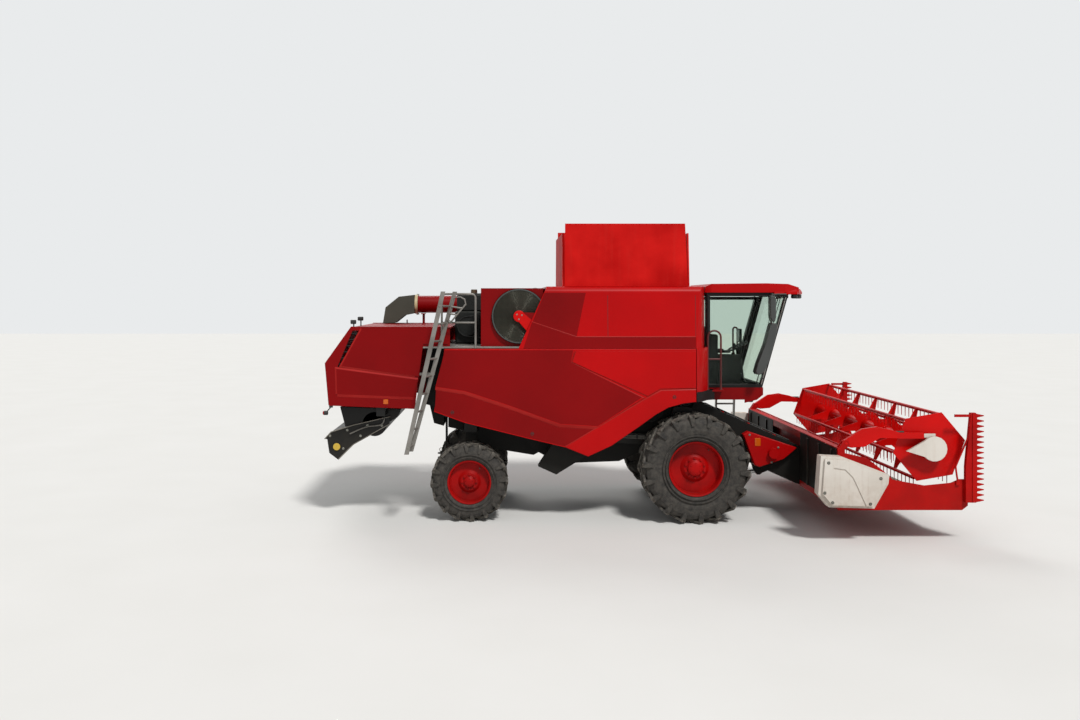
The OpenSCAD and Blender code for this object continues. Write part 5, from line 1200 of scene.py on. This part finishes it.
class HARVESTER_OT_engine(bpy.types.Operator):
    """Adds the engine's ribs, valve covers, air filter, pipes, belt and hoses, and the fuel tank's cap and straps."""
    bl_idname = "harvester.engine"
    bl_label = "Engine bay"

    def execute(self, context):
        fine = [slab((x, -0.424, 3.05), (x + 0.03, 0.564, 3.55), 0.006) for x in np.linspace(-3.42, -2.52, 7)]
        piece("engine_ribs", fine, "cast_iron")
        caps = [pillow((x - 0.05, -0.2, 3.775), (x + 0.05, 0.34, 3.83), 0.3, 20) for x in (-3.06, -2.94, -2.82)]
        piece("valve_covers", caps, "satin_black_enamel")
        can = [(0.02, 0), (0.09, 0.005), (0.099, 0.03), (0.099, 0.1), (0.093, 0.105), (0.093, 0.52), (0.099, 0.53),
               (0.099, 0.6), (0.07, 0.64), (0.02, 0.645)]
        piece("air_filter", [lathe(can, (-2.66, -0.14, 3.884), LEFT, 40)], "moulded_black_plastic")
        hose = tube(curve([(-2.8, 0.5, 3.84), (-2.95, 0.6, 3.8), (-3.1, 0.62, 3.7), (-3.22, 0.52, 3.55)], 10),
                    0.055, 16)
        piece("intake_hose", [hose], "black_hose_rubber")
        pipe = tube(curve([(-3.55, 0.3, 3.86), (-3.66, 0.46, 3.84), (-3.78, 0.58, 3.8), (-3.8, 0.6, 3.72)], 10),
                    0.045, 16)
        piece("exhaust_pipe", [pipe], "heat_blued_steel")
        # Belt drive on the engine's right face, behind the dust screen
        pulleys = [((-3.88, 3.29), 0.17), ((-3.3, 3.17), 0.11), ((-3.05, 3.5), 0.07)]
        rim = np.array([(0, 0), (0.008, 0.008), (-0.012, 0.02), (-0.012, 0.03), (0.008, 0.042), (0, 0.05)])
        wheels = [lathe([(0.02, 0), *(rim + [r, 0]), (0.03, 0.05)], (x, -0.515, z), RIGHT, 40)
                  for (x, z), r in pulleys[1:]]
        piece("engine_pulleys", wheels, "cast_iron")
        piece("engine_belt", [band([p for p, _ in pulleys], [r for _, r in pulleys], -0.545, 0.03)],
              "black_hose_rubber")
        runs = [tube(curve([(-2.72, -0.84, 3.1 + up), (-2.82, -0.7, 3.12 + up), (-2.98, -0.56, 3.22 + up),
                            (-3.05, -0.43, 3.3 + up)], 8), 0.02, 10) for up in (0, 0.05, 0.1)]
        piece("coolant_hoses", runs, "black_hose_rubber")
        fuel = corners("fuel_tank")[1]
        cap = lathe([(0.05, -0.004), (0.05, 0.03), (0.045, 0.04), (0.02, 0.044)], (-2.8, 1.2, fuel[2]), UP, 28)
        piece("fuel_cap", [cap], "moulded_black_plastic")
        straps = [part for x in (-3.4, -2.86) for part in
                  (slab((x - 0.02, 0.686, 2.972), (x + 0.02, 0.69, 3.35)),
                   slab((x - 0.02, 0.686, fuel[2]), (x + 0.02, 1.388, fuel[2] + 0.004), 0.001))]
        piece("fuel_straps", straps, "galvanised_steel")
        return {"FINISHED"}


class HARVESTER_OT_cooling(bpy.types.Operator):
    """Adds the dust screen's rim and hub, and the suction arm with its bolts."""
    bl_idname = "harvester.cooling"
    bl_label = "Dust screen"

    def execute(self, context):
        low, high = corners("dust_screen")
        centre = middle_of((low, high), (1, 0, 1))
        r, face = (high[0] - low[0]) / 2, -1.39
        out = RIGHT
        at = centre + [0, face, 0]
        rim = [(r - 0.026, -0.002), (r - 0.022, 0.004), (r - 0.006, 0.006), (r, 0.001), (r - 0.002, -0.03)]
        hub = lathe([(0.11, -0.004), (0.1, 0.004), (0.02, 0.006)], at, out, 40)
        piece("screen_rim", [lathe(rim, at, out, 96, ring=True)], "moulded_grey_plastic",
              "dust_screen")
        piece("screen_hub", [hub], "satin_black_enamel", "dust_screen")
        arm = corners("cooler_housing")[0][1]
        # The suction arm from the body's rear edge to the cap over the screen's shaft
        side = [(-3.021, 3.422), (-2.981, 3.389), (-2.846, 3.235), (-2.76, 3.423), (-2.911, 3.554), (-2.971, 3.575)]
        cap = lathe([(0.099, -0.045), (0.099, -0.004), (0.09, 0.004), (0.02, 0.01)],
                    (centre[0], arm, centre[2]), out, 40)
        piece("suction_arm", [shell(side, arm - 0.003, arm + 0.042, 0.008), cap], "baked_red_enamel")
        heads = [(centre[0] + 0.05 * math.cos(a), arm - 0.008, centre[2] + 0.05 * math.sin(a))
                 for a in 0.4 + np.arange(3) * 2 * math.pi / 3]
        piece("suction_arm_bolts", bolts(heads, out, 0.016, 0.008), "zinc_plate")
        return {"FINISHED"}


class HARVESTER_OT_cab(bpy.types.Operator):
    """Adds seals, wiper, the rod beside the windscreen, door pull, roof hatch and slats, cabinet and mirror glass."""
    bl_idname = "harvester.cab"
    bl_label = "Cab"

    def execute(self, context):
        glass_low, glass_high = corners("cab_glass")
        door_low, door_high = corners("door_glass")
        y = corners("cab_frame")[1][1]
        lean = np.array([WINDSCREEN_LEAN, 0, 1.0])
        foot = np.array([WINDSCREEN_FOOT, 0, FLOOR_Z])
        on_screen = lambda side_y, h, out: foot + lean * h + [out, side_y, 0]
        low, top = glass_low[2], glass_high[2]
        pane = [(glass_low[0], low), (on_screen(0, low - FLOOR_Z, -0.115)[0], low),
                (on_screen(0, top - FLOOR_Z, -0.115)[0], top), (glass_low[0], top), (glass_low[0], low)]
        piece("right_window_seal", [tube([(x, -y + 0.004, z) for x, z in pane], 0.009, 8)], "black_hose_rubber")
        x0, z0, x1, z1 = door_low[0], door_low[2], door_high[0], door_high[2]
        drop = (z1 - z0) * WINDSCREEN_LEAN
        edge = [(x0, z0), (x1 - drop, z0), (x1, z1), (x0, z1), (x0, z0)]
        piece("door_seal", [tube([(x, y - 0.022, z) for x, z in edge], 0.008, 8)], "black_hose_rubber", "cab_door")
        round_screen = ((-1, 0.06), (1, 0.06), (1, 1.6), (-1, 1.6), (-1, 0.06))
        front = [on_screen(s * (y - 0.06), h, 0.004) for s, h in round_screen]
        piece("windscreen_seal", [tube(front, 0.01, 8)], "black_hose_rubber")
        arm = [on_screen(-0.25, 1.57, 0.03), on_screen(-0.12, 0.8, 0.03)]
        blade = [on_screen(-0.1, 1.25, 0.02), on_screen(-0.14, 0.4, 0.02)]
        boss = lathe([(0.02, -0.01), (0.02, 0.03), (0.01, 0.035)], on_screen(-0.25, 1.57, 0), AHEAD, 16)
        piece("wiper", [rod(*arm, 0.008, 8), rod(*blade, 0.006, 8), boss], "moulded_black_plastic")
        # Washer pipe and cable guard: a pale rod with clamps along the right post
        guard = [on_screen(-y - 0.012, h, -0.03) for h in (0.06, 1.58)]
        clamps = [slab(on_screen(-y - 0.022, h, -0.05), on_screen(-y + 0.002, h, -0.01) + [0, 0, 0.03])
                  for h in (0.15, 0.52, 0.9, 1.28, 1.52)]
        piece("post_rod", [rod(*guard, 0.01, 12)], "galvanised_steel")
        piece("post_rod_clamps", clamps, "moulded_black_plastic")
        handle = [(1.398, 0.872, 2.95), (1.416, 0.905, 2.96), (1.416, 0.905, 3.04), (1.398, 0.872, 3.05)]
        piece("door_pull", [tube(curve(handle, 6), 0.009, 10)], "moulded_black_plastic", "cab_door")
        roof_top = ROOF[1][2]
        hatch = pillow((ROOF[0][0] + 0.35, -0.42, roof_top - 0.03),
                       (ROOF[0][0] + 1.1, 0.42, roof_top - 0.001), 0.15, 32)
        piece("roof_hatch", [hatch], "sprayed_red_enamel")
        slats = [slab((ROOF[0][0], v - 0.01, 3.93), (ROOF[0][0] + 0.006, v + 0.01, 4.0), 0.002)
                 for v in np.linspace(-0.35, 0.35, 15)]
        piece("roof_intake_slats", slats, "moulded_black_plastic")
        cabinet = slab((0.394, -0.78, FLOOR_Z), (0.545, -0.3, 3.15), 0.015)
        piece("rear_cabinet", [cabinet], "moulded_black_plastic")
        left = [pillow((1.672, 1.115, 3.565), (1.684, 1.285, 3.795), 0.3),
                pillow((1.672, 1.125, 3.335), (1.684, 1.275, 3.495), 0.3)]
        piece("mirror_glass_left", left, "silvered_glass")
        return {"FINISHED"}


class HARVESTER_OT_cushions(bpy.types.Operator):
    """Upholsters the driver's cushions and adds the armrests."""
    bl_idname = "harvester.cushions"
    bl_label = "Driver's cushions"

    def execute(self, context):
        base = cushion((0.53, -0.255, 2.52), (0.98, 0.255, 2.635), 0.01, (-0.5, 0.5), 1)
        back = cushion((0.46, -0.235, 2.62), (0.56, 0.235, 3.27), 0.01, (-0.4, 0.1, 0.55), 2)
        back[0][:, 0] += 0.03 - 0.13 * (back[0][:, 2] - 2.62)
        pads = piece("driver_cushions", [base, back], "woven_seat_cloth", smooth=60)
        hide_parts("seat_cushions")
        rests = [pillow((0.58, v - 0.035, 2.8), (0.88, v + 0.035, 2.85), 0.35, 28) for v in (-0.275, 0.275)]
        stems = [rod((0.56, v, 2.66), (0.6, v, 2.81), 0.014, 10) for v in (-0.262, 0.262)]
        piece("armrests", rests + stems, "moulded_black_plastic")
        return {"FINISHED"}


class HARVESTER_OT_controls(bpy.types.Operator):
    """Adds the drive lever, console keys, monitor's glass, pedals, steering column's gaiter and floor mat."""
    bl_idname = "harvester.controls"
    bl_label = "Controls"

    def execute(self, context):
        stick = [lathe([(0.045, 0), (0.04, 0.01), (0.03, 0.022), (0.034, 0.03), (0.022, 0.045), (0.012, 0.055),
                        (0.011, 0.13)], (0.9, -0.4, 2.775), (0.15, 0, 1), 20),
                 pillow((0.893, -0.425, 2.895), (0.943, -0.375, 2.985), 0.6, 20)]
        piece("drive_lever", stick, "moulded_black_plastic")
        keys = [slab((0.62 + 0.045 * i, -0.49 + 0.05 * j, 2.778), (0.65 + 0.045 * i, -0.455 + 0.05 * j, 2.788), 0.003)
                for i in range(5) for j in range(3)]
        piece("console_keys", keys, "moulded_grey_plastic")
        piece("monitor_glass", [slab((0.997, -0.452, 3.015), (1.001, -0.278, 3.225), 0.001)], "dark_display_glass")
        pedals = [part for v in (-0.22, -0.12, 0.18) for part in
                  (slab((1.1, v - 0.045, 2.3), (1.112, v + 0.045, 2.42), 0.004),
                   rod((1.11, v, 2.36), (1.17, v, 2.24), 0.01, 8))]
        piece("pedals", pedals, "moulded_black_plastic")
        gaiter = [(0.075, 0)] + [(0.068 - 0.004 * k + 0.008 * (k % 2), 0.012 + 0.018 * k)
                                 for k in range(8)] + [(0.03, 0.165)]
        piece("column_gaiter", [lathe(gaiter, (1.14, 0, FLOOR_Z), (-0.1, 0, 1), 28)], "black_hose_rubber")
        mat = slab((0.42, -0.7, FLOOR_Z - 0.001), (1.22, 0.7, FLOOR_Z + 0.008), 0.003)
        piece("floor_mat", [mat], "moulded_black_plastic")
        return {"FINISHED"}


class HARVESTER_OT_lights(bpy.types.Operator):
    """Adds the lenses of lamps, and the reflectors."""
    bl_idname = "harvester.lights"
    bl_label = "Lamps and reflectors"

    def execute(self, context):
        lenses = [pillow((x + 0.076, s * v - 0.05, 3.792), (x + 0.088, s * v + 0.05, 3.858), 0.3)
                  for s in (-1, 1) for x, v in WORK_LAMPS]
        lenses += [pillow((1.176, s * 0.63 - 0.06, 1.955), (1.188, s * 0.63 + 0.06, 2.005), 0.3) for s in (-1, 1)]
        lenses += [pillow((-5.853, y - half + 0.005, z - 0.048), (-5.845, y + half - 0.005, z + 0.016), 0.3)
                   for y, z, half in STALK_LAMPS]
        piece("lamp_lenses", lenses, "clear_lamp_lens")
        tails = [lathe([(0.036, -0.002), (0.034, 0.01), (0.022, 0.018), (0.004, 0.021)],
                       np.array(TAIL_LAMP) * [1, s, 1] - [0.003, 0, 0], BACK, 28) for s in (-1, 1)]
        piece("tail_lamp_lenses", tails, "red_lens")
        y = HOOD[1][1] - RELIEF
        mark = pillow((-5.276, y - 0.004, 1.991), (-5.196, y + 0.006, 2.071), 0.2)
        piece("hood_reflectors", both(mark), "amber_lens")
        piece("feeder_reflector", [pillow((1.16, -0.908, 1.205), (1.26, -0.898, 1.345), 0.2)], "amber_lens", "header")
        return {"FINISHED"}


class HARVESTER_OT_ladders(bpy.types.Operator):
    """Adds the grip strips of the boarding platform and the caps of the deck rail."""
    bl_idname = "harvester.ladders"
    bl_label = "Ladders and rails"

    def execute(self, context):
        nose = [slab((0.08 + 0.16 * i, 0.87, 2.199), (0.1 + 0.16 * i, 1.46, 2.206), 0.002) for i in range(9)]
        piece("platform_grip", nose, "grey_powder_coat")
        grips = [rod((x, POSTS_Y, 3.845), (x, POSTS_Y, 3.872), 0.021, 12) for x in POSTS_X]
        piece("rail_caps", grips, "moulded_black_plastic")
        return {"FINISHED"}


class HARVESTER_OT_header(bpy.types.Operator):
    """Adds the header's ribs and rear sheets, skid shoes, bolts, top edge, pipes and knife sections."""
    bl_idname = "harvester.header"
    bl_label = "Header"

    def execute(self, context):
        back = HEADER[0][0]
        ribs = [slab((back - 0.03, v - 0.02, 0.6), (back + 0.004, v + 0.02, 1.4))
                for v in (-2.5, -1.9, -1.3, 1.3, 1.9, 2.5)]
        piece("back_wall_ribs", ribs, "satin_black_enamel", "header")
        # Dark sheets over the back wall on both sides of the feeder's mouth
        backs = both(slab((back - 0.006, 0.86, 0.6), (back + 0.002, 2.72, 1.44), 0.002))
        piece("back_wall_sheets", backs, "oily_dark_sheet", "header")
        outline = [(2.2, 0.5), (2.24, 0.44), (2.4, 0.415), (3.3, 0.415), (3.48, 0.46), (3.5, 0.49), (3.46, 0.475),
                   (3.29, 0.427), (2.41, 0.427), (2.26, 0.452), (2.22, 0.505)]
        shoes = [extruded(outline, v - 0.09, v + 0.09) for v in (-2.3, -1.2, 1.2, 2.3)]
        piece("skid_shoes", shoes, "worn_knife_steel", "header")
        spots = np.array([(1.75, 2.998, 1.26), (2.55, 2.998, 1.02), (2.39, 2.998, 0.63),
                          (1.81, 2.998, 0.65), (1.69, 2.998, 0.8)])
        piece("shield_bolts", both(*bolts(spots, LEFT, 0.03, 0.008)), "zinc_plate", "header")
        edge = rod((2.1, -2.66, 1.462), (2.1, 2.66, 1.462), 0.012, 10)
        piece("top_edge_roll", [edge], "rubbed_red_enamel", "header")
        lines = [tube(curve([(2.04, -2.6 + k, 1.36), (2.035, -1.8, 1.33 - k), (2.035, -1.0, 1.33 - k),
                             (1.98, -0.86, 1.38 - k)], 10), 0.011, 8) for k in (0, 0.03, 0.06)]
        piece("header_pipes", lines, "galvanised_steel", "header")
        # Sections of the knife between the guards: wide teeth at 76 mm
        tooth = extruded([(3.8, -0.036), (3.878, -0.01), (3.878, 0.01), (3.8, 0.036)], 0.5235, 0.5265, 2)
        x = np.arange(-34, 35) * 0.0762
        piece("knife_sections", [copies(tooth, np.column_stack([0 * x, x, 0 * x]))], "worn_knife_steel", "header")
        return {"FINISHED"}


class HARVESTER_OT_reel(bpy.types.Operator):
    """Adds the bands on the reel's tube and the barrels of its slide."""
    bl_idname = "harvester.reel"
    bl_label = "Reel"

    def execute(self, context):
        flanges = [hoop(0.102, 0.12, 0.01, REEL_AXIS + [0, v, 0], LEFT, 32) for v in (-2.0, -1.0, 0, 1.0, 2.0)]
        piece("reel_tube_bands", flanges, "baked_red_enamel", "reel")
        barrel = both(rod((2.62, 2.7, 1.69), (3.02, 2.7, 1.69), 0.022, 16),
                      rod((2.6, 2.7, 1.69), (2.63, 2.7, 1.69), 0.028, 16))
        piece("slide_barrels", barrel, "satin_black_enamel", "reel_arms")
        return {"FINISHED"}


class HARVESTER_OT_feeder(bpy.types.Operator):
    """Adds the feeder house's pipes and ribs, and the bolts of its drive cover."""
    bl_idname = "harvester.feeder"
    bl_label = "Feeder house"

    def execute(self, context):
        s, c = math.sin(FEEDER_SLOPE), math.cos(FEEDER_SLOPE)

        def on_feeder(along, y, up):
            return (FEEDER_PIVOT[0] + along * c + up * s, y, FEEDER_PIVOT[1] - along * s + up * c)
        pipes = [tube(curve([on_feeder(a, -0.66 + k * 0.035, FEEDER_HALF + 0.022) for a in (0.35, 0.8, 1.3, 1.75)], 8),
                      0.011, 10) for k in range(3)]
        piece("feeder_pipes", pipes, "black_hose_rubber", "header")
        ribs = []
        for a in (0.45, 0.95, 1.45):
            rows = [on_feeder(a + da, 0, FEEDER_HALF + up)
                    for da, up in ((-0.02, -0.004), (0.02, -0.004), (0.02, 0.012), (-0.02, 0.012))]
            ribs.append(extruded([(p[0], p[2]) for p in rows], -0.74, 0.74))
        piece("feeder_ribs", ribs, "sprayed_red_enamel", "header")
        heads = [on_feeder(a, -0.9, up) for a in (0.35, 1.0, 1.55) for up in (-0.14, 0.14)]
        piece("feeder_drive_bolts", bolts(heads, RIGHT, 0.024, 0.01), "zinc_plate", "header")
        return {"FINISHED"}


class HARVESTER_OT_side_drives(bpy.types.Operator):
    """Adds the belts and the pulleys' hubs behind the side panels."""
    bl_idname = "harvester.side_drives"
    bl_label = "Side drives"

    def execute(self, context):
        wheels = [((-0.7, 1.9), 0.26), ((-1.5, 2.3), 0.3), ((-2.3, 1.9), 0.24),
                  ((-3.1, 2.2), 0.33), ((-4.0, 2.45), 0.2)]
        # Pairs of pulleys, each with its belt's middle and width
        belts = [band([wheels[i][0], wheels[j][0]], [wheels[i][1], wheels[j][1]], y, wide)
                 for i, j, y, wide in ((0, 1, 0.91, 0.035), (2, 3, 0.91, 0.035), (3, 4, 0.955, 0.03))]
        piece("drive_belts", both(*belts), "black_hose_rubber")
        hubs = [lathe([(0.07, 0), (0.07, 0.02), (0.05, 0.03), (0.02, 0.032)], (x, 0.972, z), LEFT, 28)
                for (x, z), _ in wheels]
        piece("drive_hubs", both(*hubs), "yellow_enamel")
        return {"FINISHED"}


GROUPS = [HarvesterPaint, HarvesterStage]
OPERATORS = [HARVESTER_OT_finishes, HARVESTER_OT_stage, HARVESTER_OT_rear_ladder, HARVESTER_OT_deck, HARVESTER_OT_tail,
             HARVESTER_OT_engine_block, HARVESTER_OT_front_corners, HARVESTER_OT_body_side, HARVESTER_OT_mirrors,
             HARVESTER_OT_rails, HARVESTER_OT_lamp_bodies, HARVESTER_OT_crop_gear, HARVESTER_OT_wheels,
             HARVESTER_OT_chassis, HARVESTER_OT_panels, HARVESTER_OT_hood, HARVESTER_OT_chopper, HARVESTER_OT_tank,
             HARVESTER_OT_engine, HARVESTER_OT_cooling, HARVESTER_OT_cab, HARVESTER_OT_cushions, HARVESTER_OT_controls,
             HARVESTER_OT_lights, HARVESTER_OT_ladders, HARVESTER_OT_header, HARVESTER_OT_reel, HARVESTER_OT_feeder,
             HARVESTER_OT_side_drives]


class HARVESTER_PT_panel(bpy.types.Panel):
    """Lists the steps and their settings."""
    bl_label = "Harvester"
    bl_idname = "HARVESTER_PT_panel"
    bl_space_type = "VIEW_3D"
    bl_region_type = "UI"
    bl_category = "Harvester"

    def draw(self, context):
        for step in OPERATORS:
            self.layout.operator(step.bl_idname)
        for group in (context.scene.harvester_paint, context.scene.harvester_stage):
            for name in type(group).__annotations__:
                self.layout.prop(group, name)


def register():
    for c in GROUPS + OPERATORS + [HARVESTER_PT_panel]:
        bpy.utils.register_class(c)
    bpy.types.Scene.harvester_paint = bpy.props.PointerProperty(type=HarvesterPaint)
    bpy.types.Scene.harvester_stage = bpy.props.PointerProperty(type=HarvesterStage)


def unregister():
    del bpy.types.Scene.harvester_stage
    del bpy.types.Scene.harvester_paint
    for c in reversed(GROUPS + OPERATORS + [HARVESTER_PT_panel]):
        bpy.utils.unregister_class(c)


def main():
    """Runs every step in order."""
    register()
    for step in OPERATORS:
        getattr(bpy.ops.harvester, step.bl_idname.split(".")[1])()


if __name__ == "__main__":
    main()
